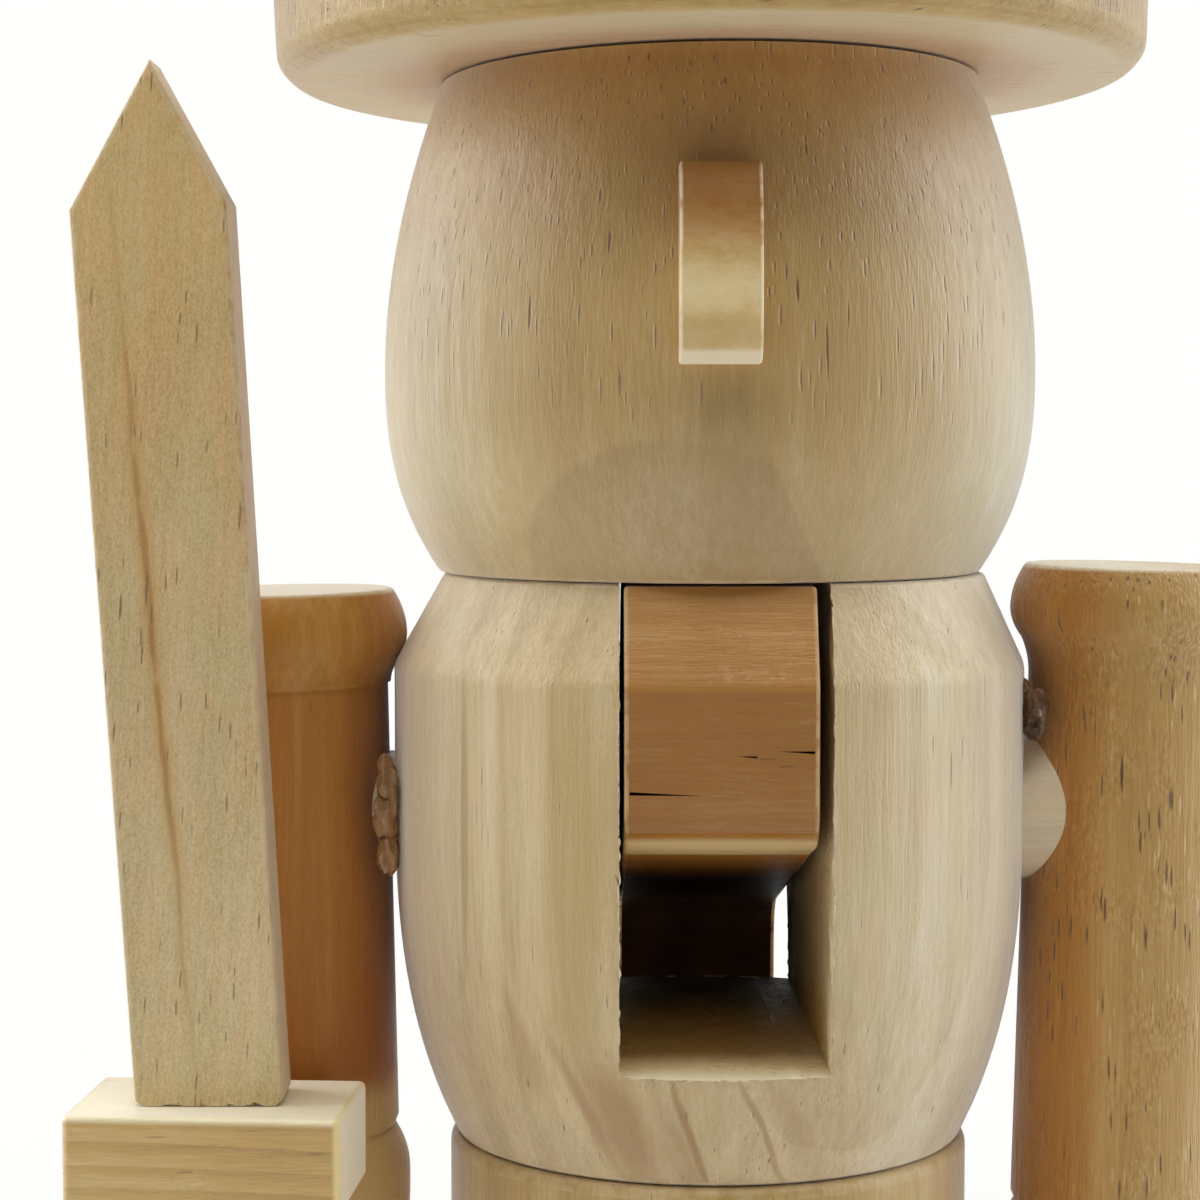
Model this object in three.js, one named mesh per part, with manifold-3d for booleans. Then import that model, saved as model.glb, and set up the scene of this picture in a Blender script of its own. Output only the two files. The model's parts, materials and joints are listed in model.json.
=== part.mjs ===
// A raw turned-wood nutcracker soldier that stands on a base, with a sword in the right hand.
// Millimetres, +Z up, the soldier faces -Y, and the origin is the middle of the base's underside.

import * as THREE from "three";
import { mergeVertices } from "three/addons/utils/BufferGeometryUtils.js";
import Module from "manifold-3d";

const wasm = await Module();
wasm.setup();

// Fits
const glueLine = 0.1; // between flat glued faces
const seatGap = 0.3; // between shaped pieces that bear on each other
const dowelFit = 0.15; // radial room round a glued dowel
const pinFit = 0.1; // radial running clearance of the lever on its pin
const holeRoom = 0.5; // spare depth at the end of a blind hole
const dowelEase = 0.6; // chamfer on a dowel's ends

// Base and toes
const baseWidth = 96;
const baseDepth = 72;
const baseHeight = 24;
const baseCorner = 7;
const baseEdge = 2;
const toeWidth = 19;
const toeLength = 24; // from the leg's axis to the tip
const toeHeight = 9;
const toeEdge = 2.5;

// Legs
const legLength = 88;
const legGap = 1.2; // between the two legs where they are widest
const bootRadius = 11.2;
const ankleRadius = 10.2;
const ankleHeight = 14;
const bootHeight = 34;
const cuffRadius = 11.9;
const cuffHeight = 5;
const cuffTurn = 60; // degrees of its bead above and below the middle
const kneeRadius = 10.2;
const trouserRadius = 10.9;
const legDowelDiameter = 8;
const legDowelDepth = 11; // into each piece that it joins

// Hips
const hipsRadius = 25.2;
const hipsHeight = 22;
const hipsEdge = 1.2;
const waistDowelDiameter = 12;
const waistDowelDepth = 9; // into the hips
const slotFloorWall = 3; // wood left between the waist dowel and the slot

// Torso
const torsoHeight = 54.8;
const torsoRadius = 30.8;
const torsoFootRadius = 24.7;
const torsoStraight = 34.8; // height above which the sides are straight
const torsoRound = 2.9; // how late the sides curve in: 2 is a parabola
const neckRadius = 26.3;
const shoulderDrop = 8.8; // height of the shoulder chamfer
const slotWidth = 19.1;
const slotOffset = 0.6; // the slot is cut a little to the soldier's left
const slotDepth = 44.4; // at the torso's axis
const slotFall = 1.9; // degrees, the slot's floor falls to the back

// Jaw lever and its pin
const leverWidth = 17.3;
const leverOffset = 0.15;
const leverEase = 0.4; // chamfer along the lever's edges
const jawGap = 0.3; // between the lever's top and the head, shut or open
const jawOpening = 35; // degrees, where the lever's back meets the head
const chinInset = 1; // how far the chin's face lies behind the torso's
const chinRound = 5;
const chinRoom = 22; // between the chin and the slot's floor, at the axis
const heelRoom = 7; // between the lever's heel and that floor
const handleGap = 6; // between the torso's back and the handle
const handleThickness = 11;
const handleShoulder = 16; // round at the top of the handle's back
const handleLength = 71; // below that floor
const handleFlare = 4; // how far the handle leans away from the legs
const pinDiameter = 5;
const pinBack = 3; // behind the torso's axis
const pinWall = 2.25; // wood between the pin and the shoulder pegs
const pinSink = 1.3; // depth of the pin's ends below the torso's sides

// Shoulder pegs and arms
const pegDiameter = 14.5;
const pegDrop = 23; // below the torso's top
const pegDepth = 12; // into the torso
const sleeveRadius = 10.5;
const capRadius = 12.5;
const capTopRadius = 11.2;
const capCrown = 3.2; // from the cap's widest ring up to its top
const capHeight = 9;
const capUnderRound = 1.3; // 1 is a straight slope under the cap
const wristRadius = 10.1;
const wristChamfer = 0.9;
const handRadius = 11.5;
const handTipRadius = 7.5;
const handLength = 22;
const handDrop = 4.4; // from the wrist groove down to the hand's widest ring
const handRound = 2.2;
const leftArmLength = 63.5; // from the cap's top to the wrist groove
const leftArmDrop = -0.6; // of the cap's top below the torso's top
const leftArmGap = 0.6; // between torso and sleeve at the peg
const leftArmLean = 1.5; // degrees, the hand nearer to the legs than the shoulder
const rightArmLength = 52.6;
const rightArmDrop = 1.8;
const rightArmGap = 0.75;
const rightArmLean = 1.2;

// Glue in the crevices between torso and arms
const leftGlueDrop = 12.5; // middle of the lump below the torso's top
const leftGlueHeight = 8;
const rightGlueDrop = 23.5;
const rightGlueHeight = 12.5;
const glueWidth = 6;
const glueDepth = 8;

// Head
const headHeight = 47.2; // at its axis
const headRadius = 31.6;
const headFootRadius = 26.3;
const headTopRadius = 25.9;
const headBelly = 19.5; // height of the widest ring
const headLowerRound = 2.5;
const headUpperRound = 1.9;
const neckDowelDiameter = 6;
const neckDowelDepth = 9; // into head and torso
const neckDowelForward = 8; // in front of the torso's axis

// Nose
const noseWidth = 7.2;
const noseHeight = 17.5;
const noseBottom = 19.4; // above the head's foot
const noseOffset = -0.2;
const noseReach = 4.6; // in front of the head's widest ring
const noseBrow = 3.4; // how far its top edge lies behind its bow
const noseLip = 1.1; // how far its lower edge lies behind its bow
const noseFoot = 2.2; // how far its underside lies behind its bow
const noseLipHeight = 1.1;
const noseSeat = 3.5; // depth of its mortise behind that ring
const noseEase = 0.35;

// Hat
const hatTilt = 1.85; // degrees, the hat and the cut of the head's top lean back
const hatRoll = 0.6; // degrees, they also lean towards the sword
const brimRadius = 41.8;
const brimFlare = 0.6;
const brimThickness = 16;
const brimEdge = 2.4;
const crownRadius = 31;
const crownFlare = 3;
const crownHeight = 52.8;
const crownEdge = 5;
const crownTurn = 80; // degrees of that edge, which leaves the top a little domed
const crownDome = 1.5;
const hatDowelDiameter = 10;
const hatDowelDepth = 11; // into head and crown

// Sword
const guardWidth = 24.4;
const guardDepth = 16.5;
const guardHeight = 9;
const guardDrop = 47.7; // of its top below the torso's top
const guardEase = 0.6;
const guardCorner = 1.2;
const swordOutset = 4.3; // outward from the arm's axis
const bladeWidth = 13.2;
const bladeShoulderWidth = 14.15;
const bladeLength = 94;
const bladePoint = 13; // height of the point
const bladePointOffset = 1; // of the tip from the blade's middle line, towards the head
const bladeThickness = 7.5;
const bladeEase = 0.7;
const bladeSetback = 4.6; // of the blade's face behind the guard's
const bladeLean = 3.2; // degrees, the point away from the head
const tangDiameter = 4;
const tangDepth = 4; // into the guard
const tangReach = 9; // into the blade
const gripRadius = 5.5;
const gripLength = 26;
const gripBite = 0.8; // depth of the groove in the hand
const gripRound = 3;
const tenonDiameter = 5;
const tenonLength = 4;

// Facets of the turned pieces
const bodyFacets = 48;
const limbFacets = 24;
const dowelFacets = 12;
const pinFacets = 24;
const curveSteps = 6;
const evenRound = 2; // power of an outline that swells as a parabola
const cornerSteps = 2;
const edgeSteps = 3;
const easeSteps = 2;
const mergeDistance = 1e-4;
const overcut = 5; // how far a cutter runs past a face

// Levels
const legZ = baseHeight + glueLine;
const hipsZ = legZ + legLength + glueLine;
const torsoZ = hipsZ + hipsHeight + glueLine;
const neckZ = torsoZ + torsoHeight;
const headZ = neckZ + glueLine;
const hatZ = headZ + headHeight;
const pegZ = neckZ - pegDrop;
const pinZ = pegZ + pegDiameter / 2 + pinWall + pinDiameter / 2;
const slotFloorZ = neckZ - slotDepth;
const guardZ = neckZ - guardDrop - guardHeight;

// Places across the figure
const legX = Math.max(bootRadius, cuffRadius, trouserRadius) + legGap / 2;
const leftArmX = torsoRadius + leftArmGap + sleeveRadius;
const rightArmX = torsoRadius + rightArmGap + sleeveRadius;
const swordX = -rightArmX - swordOutset;
const guardBackY = -handRadius - seatGap;
const guardY = guardBackY - guardDepth / 2;
const bladeY = guardBackY - guardDepth + bladeSetback + bladeThickness / 2;

const degrees = THREE.MathUtils.degToRad;
const soldier = new THREE.Group();

// Helpers

function wood(colour, roughness = 0.8) {
  return new THREE.MeshStandardMaterial({ color: colour, roughness, metalness: 0 });
}

function add(name, geometry, material, x = 0, y = 0, z = 0) {
  const mesh = new THREE.Mesh(geometry, material);
  mesh.name = name;
  mesh.position.set(x, y, z);
  soldier.add(mesh);
  return mesh;
}

// A solid for cutting, with shared corners merged and the slivers on the turning axis left out.
function solidOf(geometry) {
  const bare = geometry.clone();
  bare.deleteAttribute("normal");
  bare.deleteAttribute("uv");
  const merged = mergeVertices(bare, mergeDistance);
  const triangles = [];
  for (let i = 0; i < merged.index.count; i += 3) {
    const corners = [0, 1, 2].map((step) => merged.index.getX(i + step));
    if (new Set(corners).size === 3) {
      triangles.push(...corners);
    }
  }
  return new wasm.Manifold(
    new wasm.Mesh({
      numProp: 3,
      vertProperties: merged.attributes.position.array,
      triVerts: new Uint32Array(triangles),
    }),
  );
}

function cut(geometry, ...cutters) {
  let solid = solidOf(geometry);
  for (const cutter of cutters) {
    solid = solid.subtract(solidOf(cutter));
  }
  const mesh = solid.getMesh();
  const result = new THREE.BufferGeometry();
  result.setAttribute("position", new THREE.BufferAttribute(mesh.vertProperties, 3));
  result.setIndex(new THREE.BufferAttribute(mesh.triVerts, 1));
  result.computeVertexNormals();
  return result;
}

// Turns a half outline of [radius, height] points round the Z axis.
function turned(outline, facets) {
  const points = outline.map(([radius, height]) => new THREE.Vector2(radius, height));
  return new THREE.LatheGeometry(points, facets).rotateX(Math.PI / 2);
}

// Outline points from a narrow ring to a wide one, which is left parallel to the axis.
function swell(narrow, wide, round) {
  const points = [];
  for (let step = 0; step <= curveSteps; step += 1) {
    const share = 1 - step / curveSteps;
    const radius = wide[0] - (wide[0] - narrow[0]) * share ** round;
    points.push([radius, wide[1] + (narrow[1] - wide[1]) * share]);
  }
  return points;
}

// Outline points of a quarter round; from and to are degrees, 0 outward and 90 up.
function roundedEdge(radius, height, edge, from, to) {
  const points = [];
  for (let step = 0; step <= edgeSteps; step += 1) {
    const turn = degrees(from + ((to - from) * step) / edgeSteps);
    points.push([radius + edge * Math.cos(turn), height + edge * Math.sin(turn)]);
  }
  return points;
}

// A dowel along Z from height 0.
function dowel(diameter, length, facets = dowelFacets) {
  const radius = diameter / 2;
  const outline = [
    [0, 0],
    [radius - dowelEase, 0],
    [radius, dowelEase],
    [radius, length - dowelEase],
    [radius - dowelEase, length],
    [0, length],
  ];
  return turned(outline, facets);
}

// A round cutter along Z between two heights.
function bore(diameter, from, to, facets = dowelFacets) {
  const cylinder = new THREE.CylinderGeometry(diameter / 2, diameter / 2, to - from, facets);
  return cylinder.rotateX(Math.PI / 2).translate(0, 0, (from + to) / 2);
}

// Turns a shape made along Z to lie along X.
function alongX(geometry) {
  return geometry.rotateY(Math.PI / 2);
}

function holeFor(dowelDiameter) {
  return dowelDiameter + 2 * dowelFit;
}

// A flat outline raised along Z from height 0, with eased edges.
function raised(shape, height, edge, edgeSegments = 1, cornerSegments = curveSteps) {
  const block = new THREE.ExtrudeGeometry(shape, {
    depth: height - 2 * edge,
    bevelThickness: edge,
    bevelSize: edge,
    bevelOffset: -edge,
    bevelSegments: edgeSegments,
    curveSegments: cornerSegments,
  });
  return block.translate(0, 0, edge);
}

function rectangle(width, depth, corner) {
  const x = width / 2 - corner;
  const y = depth / 2 - corner;
  const shape = new THREE.Shape();
  shape.absarc(x, -y, corner, -Math.PI / 2, 0);
  shape.absarc(x, y, corner, 0, Math.PI / 2);
  shape.absarc(-x, y, corner, Math.PI / 2, Math.PI);
  shape.absarc(-x, -y, corner, Math.PI, 1.5 * Math.PI);
  return shape;
}

// Stands an outline drawn in side view, depth across and height up, and centres its thickness on X.
function sideView(geometry, thickness) {
  const depth = new THREE.Vector3(0, 1, 0);
  const height = new THREE.Vector3(0, 0, 1);
  const across = new THREE.Vector3(1, 0, 0);
  geometry.translate(0, 0, -thickness / 2);
  return geometry.applyMatrix4(new THREE.Matrix4().makeBasis(depth, height, across));
}

// Base, toes and legs

function addBase() {
  const block = raised(rectangle(baseWidth, baseDepth, baseCorner), baseHeight, baseEdge, easeSteps);
  const holeFoot = baseHeight - legDowelDepth - holeRoom;
  const holes = [-legX, legX].map((x) =>
    bore(holeFor(legDowelDiameter), holeFoot, baseHeight + overcut).translate(x, 0, 0),
  );
  add("base", cut(block, ...holes), wood(0xd9c49e));
}

function addToe(side, x) {
  const half = toeWidth / 2;
  const tip = toeLength - half;
  const shape = new THREE.Shape();
  shape.moveTo(-half, 0);
  shape.lineTo(-half, -tip);
  shape.absarc(0, -tip, half, Math.PI, 2 * Math.PI);
  shape.lineTo(half, 0);
  const boot = bore(2 * (bootRadius + seatGap), -overcut, toeHeight + overcut, limbFacets);
  add(`toe_${side}`, cut(raised(shape, toeHeight, toeEdge, easeSteps), boot), wood(0xd3bc94), x, 0, legZ);
}

function addLeg(side, x) {
  const cuffZ = bootHeight + cuffHeight / 2;
  const bead = cuffHeight / 2;
  const outline = [
    [0, 0],
    [bootRadius, 0],
    [bootRadius, toeHeight / 2],
    ...swell([bootRadius, toeHeight / 2], [ankleRadius, ankleHeight], evenRound).slice(1),
    [(ankleRadius + cuffRadius) / 2, bootHeight],
    ...roundedEdge(cuffRadius - bead, cuffZ, bead, -cuffTurn, cuffTurn),
    [kneeRadius, bootHeight + cuffHeight],
    [trouserRadius, legLength],
    [0, legLength],
  ];
  const hole = holeFor(legDowelDiameter);
  const lowerHole = bore(hole, -overcut, legDowelDepth + holeRoom);
  const upperHole = bore(hole, legLength - legDowelDepth - holeRoom, legLength + overcut);
  add(`leg_${side}`, cut(turned(outline, limbFacets), lowerHole, upperHole), wood(0xd6bf97), x, 0, legZ);
  const pin = () => dowel(legDowelDiameter, 2 * legDowelDepth + glueLine);
  add(`leg_dowel_lower_${side}`, pin(), wood(0xdfcba6), x, 0, baseHeight - legDowelDepth);
  add(`leg_dowel_upper_${side}`, pin(), wood(0xdfcba6), x, 0, hipsZ - glueLine - legDowelDepth);
}

// Hips and torso

const waistDowelReach = torsoHeight - slotDepth - slotFloorWall - holeRoom; // into the torso

function addHips() {
  const outline = [
    [0, 0],
    ...roundedEdge(hipsRadius - hipsEdge, hipsEdge, hipsEdge, -90, 0),
    ...roundedEdge(hipsRadius - hipsEdge, hipsHeight - hipsEdge, hipsEdge, 0, 90),
    [0, hipsHeight],
  ];
  const waistHole = bore(
    holeFor(waistDowelDiameter),
    hipsHeight - waistDowelDepth - holeRoom,
    hipsHeight + overcut,
  );
  const legHoles = [-legX, legX].map((x) =>
    bore(holeFor(legDowelDiameter), -overcut, legDowelDepth + holeRoom).translate(x, 0, 0),
  );
  add("hips", cut(turned(outline, bodyFacets), waistHole, ...legHoles), wood(0xd8c29b), 0, 0, hipsZ);
  const waistDowel = dowel(waistDowelDiameter, waistDowelDepth + glueLine + waistDowelReach);
  add("waist_dowel", waistDowel, wood(0xdfcba6), 0, 0, torsoZ - glueLine - waistDowelDepth);
}

const neckDowelX = {
  left: (slotOffset + slotWidth / 2 + neckRadius) / 2,
  right: (slotOffset - slotWidth / 2 - neckRadius) / 2,
};

function addTorso() {
  const outline = [
    [0, 0],
    ...swell([torsoFootRadius, 0], [torsoRadius, torsoStraight], torsoRound),
    [torsoRadius, torsoHeight - shoulderDrop],
    [neckRadius, torsoHeight],
    [0, torsoHeight],
  ];
  const slotTop = slotDepth + overcut;
  const slot = new THREE.BoxGeometry(slotWidth, 2 * torsoRadius + 2 * overcut, slotTop);
  slot.translate(slotOffset, 0, slotTop / 2).rotateX(degrees(-slotFall));
  slot.translate(0, 0, torsoHeight - slotDepth);
  const pegReach = torsoRadius - pegDepth - holeRoom;
  const pegHole = () =>
    alongX(bore(holeFor(pegDiameter), pegReach, torsoRadius + overcut, limbFacets));
  const leftPegHole = pegHole().translate(0, 0, pegZ - torsoZ);
  const rightPegHole = pegHole()
    .rotateZ(Math.PI)
    .translate(0, 0, pegZ - torsoZ);
  const pinHole = alongX(bore(holeFor(pinDiameter), -torsoRadius, torsoRadius, pinFacets));
  pinHole.translate(0, pinBack, pinZ - torsoZ);
  const neckHoleFoot = torsoHeight - neckDowelDepth - holeRoom;
  const neckHoles = Object.values(neckDowelX).map((x) => {
    const hole = bore(holeFor(neckDowelDiameter), neckHoleFoot, torsoHeight + overcut);
    return hole.translate(x, -neckDowelForward, 0);
  });
  const waistHole = bore(holeFor(waistDowelDiameter), -overcut, waistDowelReach + holeRoom);
  const cutters = [slot, leftPegHole, rightPegHole, pinHole, ...neckHoles, waistHole];
  add("torso", cut(turned(outline, bodyFacets), ...cutters), wood(0xdcc8a6), 0, 0, torsoZ);
}

// Jaw lever, drawn in side view from the torso's top: depth runs to the back, height runs up

function addJaw() {
  const pinHeight = pinZ - neckZ;
  const opening = degrees(jawOpening);
  const chinTop = glueLine - jawGap;
  const rollRadius = chinTop - pinHeight; // of the lever's top round its pin
  const backTop = (depth) =>
    pinHeight + (rollRadius - (depth - pinBack) * Math.sin(opening)) / Math.cos(opening);
  const chinFace = chinInset - torsoRadius;
  const chinFoot = chinRoom - slotDepth;
  const heel = heelRoom - slotDepth;
  const handleIn = torsoRadius + handleGap;
  const handleOut = handleIn + handleThickness;
  const handleTip = -slotDepth - handleLength;
  const end = handleThickness / 2;

  const shape = new THREE.Shape();
  shape.moveTo(chinInset - neckRadius, chinTop);
  shape.lineTo(chinFace, -shoulderDrop);
  shape.lineTo(chinFace, chinFoot + chinRound / 2);
  shape.quadraticCurveTo(chinFace, chinFoot - chinRound / 4, chinFace + chinRound, chinFoot - chinRound / 3);
  shape.lineTo(torsoRadius, heel);
  shape.quadraticCurveTo(handleIn, heel - handleGap / 4, handleIn, heel - handleGap);
  shape.lineTo(handleIn + handleFlare, handleTip + end);
  shape.absarc(handleIn + handleFlare + end, handleTip + end, end, Math.PI, 2 * Math.PI);
  shape.lineTo(handleOut, backTop(handleOut) - handleShoulder);
  shape.quadraticCurveTo(
    handleOut,
    backTop(handleOut),
    handleOut - handleShoulder,
    backTop(handleOut - handleShoulder),
  );
  shape.absarc(pinBack, pinHeight, rollRadius, Math.PI / 2 - opening, Math.PI / 2);
  const hole = new THREE.Path();
  hole.absarc(pinBack, pinHeight, pinDiameter / 2 + pinFit, 0, 2 * Math.PI, true);
  shape.holes.push(hole);

  const lever = new THREE.ExtrudeGeometry(shape, {
    depth: leverWidth - 2 * leverEase,
    bevelThickness: leverEase,
    bevelSize: leverEase,
    bevelOffset: -leverEase,
    bevelSegments: 1,
    curveSegments: pinFacets / 2,
  });
  lever.translate(0, 0, leverEase);
  add("jaw_lever", sideView(lever, leverWidth), wood(0xc39a66), leverOffset, 0, neckZ);

  const pinHalf = Math.sqrt(torsoRadius ** 2 - pinBack ** 2) - pinSink;
  const pin = alongX(dowel(pinDiameter, 2 * pinHalf, pinFacets)).translate(-pinHalf, 0, 0);
  add("jaw_pin", pin, wood(0xdfcba6), 0, pinBack, pinZ);
}

// Head, nose and neck dowels

function addHead() {
  const outline = [
    [0, 0],
    ...swell([headFootRadius, 0], [headRadius, headBelly], headLowerRound),
    ...swell([headTopRadius, headHeight], [headRadius, headBelly], headUpperRound)
      .reverse()
      .slice(1),
    [headTopRadius, headHeight + overcut],
    [0, headHeight + overcut],
  ];
  const topCut = new THREE.BoxGeometry(4 * headRadius, 4 * headRadius, 4 * overcut);
  topCut.translate(0, 0, 2 * overcut);
  const mortise = new THREE.BoxGeometry(
    noseWidth + 2 * seatGap,
    noseReach + noseSeat + overcut,
    noseHeight + 2 * seatGap,
  );
  const mortiseY = -headRadius + noseSeat + seatGap - (noseReach + noseSeat + overcut) / 2;
  mortise.translate(noseOffset, mortiseY, noseBottom + noseHeight / 2);
  const neckHoles = Object.values(neckDowelX).map((x) =>
    bore(holeFor(neckDowelDiameter), -overcut, neckDowelDepth + holeRoom).translate(x, -neckDowelForward, 0),
  );
  const hatHole = bore(holeFor(hatDowelDiameter), -hatDowelDepth - holeRoom, overcut);
  const leaning = [topCut, hatHole].map((cutter) =>
    cutter.rotateY(degrees(-hatRoll)).rotateX(degrees(-hatTilt)).translate(0, 0, headHeight),
  );
  const block = cut(turned(outline, bodyFacets), mortise, ...leaning, ...neckHoles);
  add("head", block, wood(0xd9c7a6), 0, 0, headZ);
  for (const [side, x] of Object.entries(neckDowelX)) {
    const pin = dowel(neckDowelDiameter, 2 * neckDowelDepth + glueLine);
    add(`neck_dowel_${side}`, pin, wood(0xdfcba6), x, -neckDowelForward, neckZ - neckDowelDepth);
  }
}

// The nose bows outward, most of all a little below its middle.
function addNose() {
  const back = noseSeat - headRadius;
  const front = -headRadius - noseReach;
  const shape = new THREE.Shape();
  shape.moveTo(back, 0);
  shape.lineTo(back, noseHeight);
  shape.lineTo(front + noseBrow, noseHeight);
  shape.bezierCurveTo(front, (3 / 4) * noseHeight, front, noseHeight / 4, front + noseLip, noseLipHeight);
  shape.lineTo(front + noseFoot, 0);
  const block = sideView(raised(shape, noseWidth, noseEase), noseWidth);
  add("nose", block, wood(0xd8bf90), noseOffset, 0, headZ + noseBottom);
}

// Hat

function addHat() {
  const brim = [
    [0, 0],
    ...roundedEdge(brimRadius - brimEdge, brimEdge, brimEdge, -90, 0),
    ...roundedEdge(brimRadius + brimFlare - brimEdge, brimThickness - brimEdge, brimEdge, 0, 90),
    [0, brimThickness],
  ];
  const crownTopRadius = crownRadius + crownFlare;
  const crown = [
    [0, 0],
    [crownRadius, 0],
    ...roundedEdge(crownTopRadius - crownEdge, crownHeight - crownDome - crownEdge, crownEdge, 0, crownTurn),
    [0, crownHeight],
  ];
  const hole = holeFor(hatDowelDiameter);
  const brimHole = bore(hole, -overcut, brimThickness + overcut);
  const crownHole = bore(hole, -overcut, hatDowelDepth + holeRoom);
  const crownZ = brimThickness + 2 * seatGap;
  const pin = dowel(hatDowelDiameter, 2 * hatDowelDepth + crownZ);
  const hat = new THREE.Group();
  hat.add(
    add("hat_brim", cut(turned(brim, bodyFacets), brimHole), wood(0xdcc59c), 0, 0, seatGap),
    add("hat_crown", cut(turned(crown, bodyFacets), crownHole), wood(0xdac49d), 0, 0, crownZ),
    add("hat_dowel", pin, wood(0xdfcba6), 0, 0, -hatDowelDepth),
  );
  hat.position.z = hatZ;
  hat.rotation.set(degrees(-hatTilt), degrees(-hatRoll), 0);
  soldier.add(hat);
}

// Arms, each turned in one piece and leaning on its shoulder peg

const gripReach = handRadius + gripRadius - gripBite; // from the arm's axis to the grip's

function armOutline(length) {
  const wristZ = pegDrop - length;
  const capZ = pegDrop - capCrown;
  return [
    [0, wristZ - handLength],
    ...swell([handTipRadius, wristZ - handLength], [handRadius, wristZ - handDrop], handRound),
    ...swell([wristRadius, wristZ], [handRadius, wristZ - handDrop], evenRound)
      .reverse()
      .slice(1),
    [sleeveRadius, wristZ + wristChamfer],
    ...swell([sleeveRadius, pegDrop - capHeight], [capRadius, capZ], capUnderRound),
    ...swell([capTopRadius, pegDrop], [capRadius, capZ], evenRound)
      .reverse()
      .slice(1),
    [0, pegDrop],
  ];
}

function addArm(side, sign, x, length, drop, gap, lean, extraCutters) {
  const turn = degrees(sign * lean);
  const pegHole = alongX(bore(holeFor(pegDiameter), -sleeveRadius - overcut, holeRoom, limbFacets));
  if (sign < 0) {
    pegHole.rotateZ(Math.PI);
  }
  pegHole.translate(0, 0, drop);
  const cutters = [pegHole.rotateY(-turn), ...extraCutters];
  const arm = add(`arm_${side}`, cut(turned(armOutline(length), limbFacets), ...cutters), wood(0xb98a52));
  arm.position.set(sign * x, 0, pegZ - drop);
  arm.rotation.y = turn;

  const peg = alongX(dowel(pegDiameter, pegDepth + gap + sleeveRadius, limbFacets));
  peg.translate(torsoRadius - pegDepth, 0, 0);
  if (sign < 0) {
    peg.rotateZ(Math.PI);
  }
  add(`shoulder_peg_${side}`, peg, wood(0xd8c6a6), 0, 0, pegZ);
}

// A lump of glue in the crevice in front of the peg, shaped by what it touches.
function addGlue(side, sign, armX, drop, height) {
  const crevice = -Math.sqrt(sleeveRadius ** 2 - (sleeveRadius - glueWidth / 4) ** 2);
  const lump = new THREE.SphereGeometry(1, dowelFacets, dowelFacets / 2).rotateX(Math.PI / 2);
  lump.scale(glueWidth / 2, glueDepth / 2, height / 2);
  const lumpX = torsoRadius + (armX - sleeveRadius - torsoRadius) / 2;
  lump.translate(sign * lumpX, crevice, neckZ - drop);
  const top = neckZ + overcut;
  const torso = bore(2 * (torsoRadius + seatGap), slotFloorZ, top, bodyFacets);
  const sleeve = bore(2 * (sleeveRadius + 2 * seatGap), slotFloorZ, top, limbFacets);
  sleeve.translate(sign * armX, 0, 0);
  const peg = alongX(bore(pegDiameter + 2 * seatGap, -armX, armX, limbFacets)).translate(0, 0, pegZ);
  const material = new THREE.MeshStandardMaterial({ color: 0xe6dfd0, roughness: 0.25, metalness: 0 });
  add(`shoulder_glue_${side}`, cut(lump, torso, sleeve, peg), material);
}

// Sword

const gripY = -Math.sqrt(gripReach ** 2 - swordOutset ** 2);

function addSword() {
  const guardShape = rectangle(guardWidth, guardDepth, guardCorner);
  const guard = raised(guardShape, guardHeight, guardEase, 1, cornerSteps);
  const tangHole = bore(holeFor(tangDiameter), guardHeight - tangDepth - dowelFit, guardHeight + overcut);
  tangHole.translate(0, bladeY - guardY, 0);
  const tenonHole = bore(holeFor(tenonDiameter), -overcut, tenonLength + dowelFit);
  tenonHole.translate(0, gripY - guardY, 0);
  add("sword_guard", cut(guard, tangHole, tenonHole), wood(0xdcc08c), swordX, guardY, guardZ);

  const shape = new THREE.Shape();
  shape.moveTo(-bladeWidth / 2, 0);
  shape.lineTo(bladeWidth / 2, 0);
  shape.lineTo(bladeShoulderWidth / 2, bladeLength - bladePoint);
  shape.lineTo(bladePointOffset, bladeLength);
  shape.lineTo(-bladeShoulderWidth / 2, bladeLength - bladePoint);
  const blade = raised(shape, bladeThickness, bladeEase).rotateX(Math.PI / 2);
  blade.translate(0, bladeThickness / 2, 0);
  const turn = degrees(-bladeLean);
  const lift = seatGap + (bladeWidth / 2) * Math.sin(-turn); // the outer corner of the foot is the low one
  const bladeHole = bore(holeFor(tangDiameter), -lift - overcut, tangReach).rotateY(-turn);
  const mesh = add("sword_blade", cut(blade, bladeHole), wood(0xc6b08c));
  mesh.position.set(swordX, bladeY, guardZ + guardHeight + lift);
  mesh.rotation.y = turn;
  const tang = dowel(tangDiameter, tangDepth + lift + tangReach - holeRoom);
  add("sword_tang", tang, wood(0xdfcba6), swordX, bladeY, guardZ + guardHeight - tangDepth);

  const grip = [
    [0, -gripLength],
    ...roundedEdge(gripRadius - gripRound, gripRound - gripLength, gripRound, -90, 0),
    [gripRadius, 0],
    [tenonDiameter / 2, 0],
    [tenonDiameter / 2, tenonLength],
    [0, tenonLength],
  ];
  add("sword_grip", turned(grip, dowelFacets), wood(0xd2b98c), swordX, gripY, guardZ - glueLine);
}

// The groove for the grip, in the frame of the right arm before it leans.
function gripGroove() {
  const top = guardZ - neckZ + pegDrop + rightArmDrop;
  const groove = bore(2 * (gripRadius + seatGap), top - gripLength - overcut, top + seatGap);
  return groove.translate(-swordOutset, gripY, 0).rotateY(degrees(rightArmLean));
}

// Assembly

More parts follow.
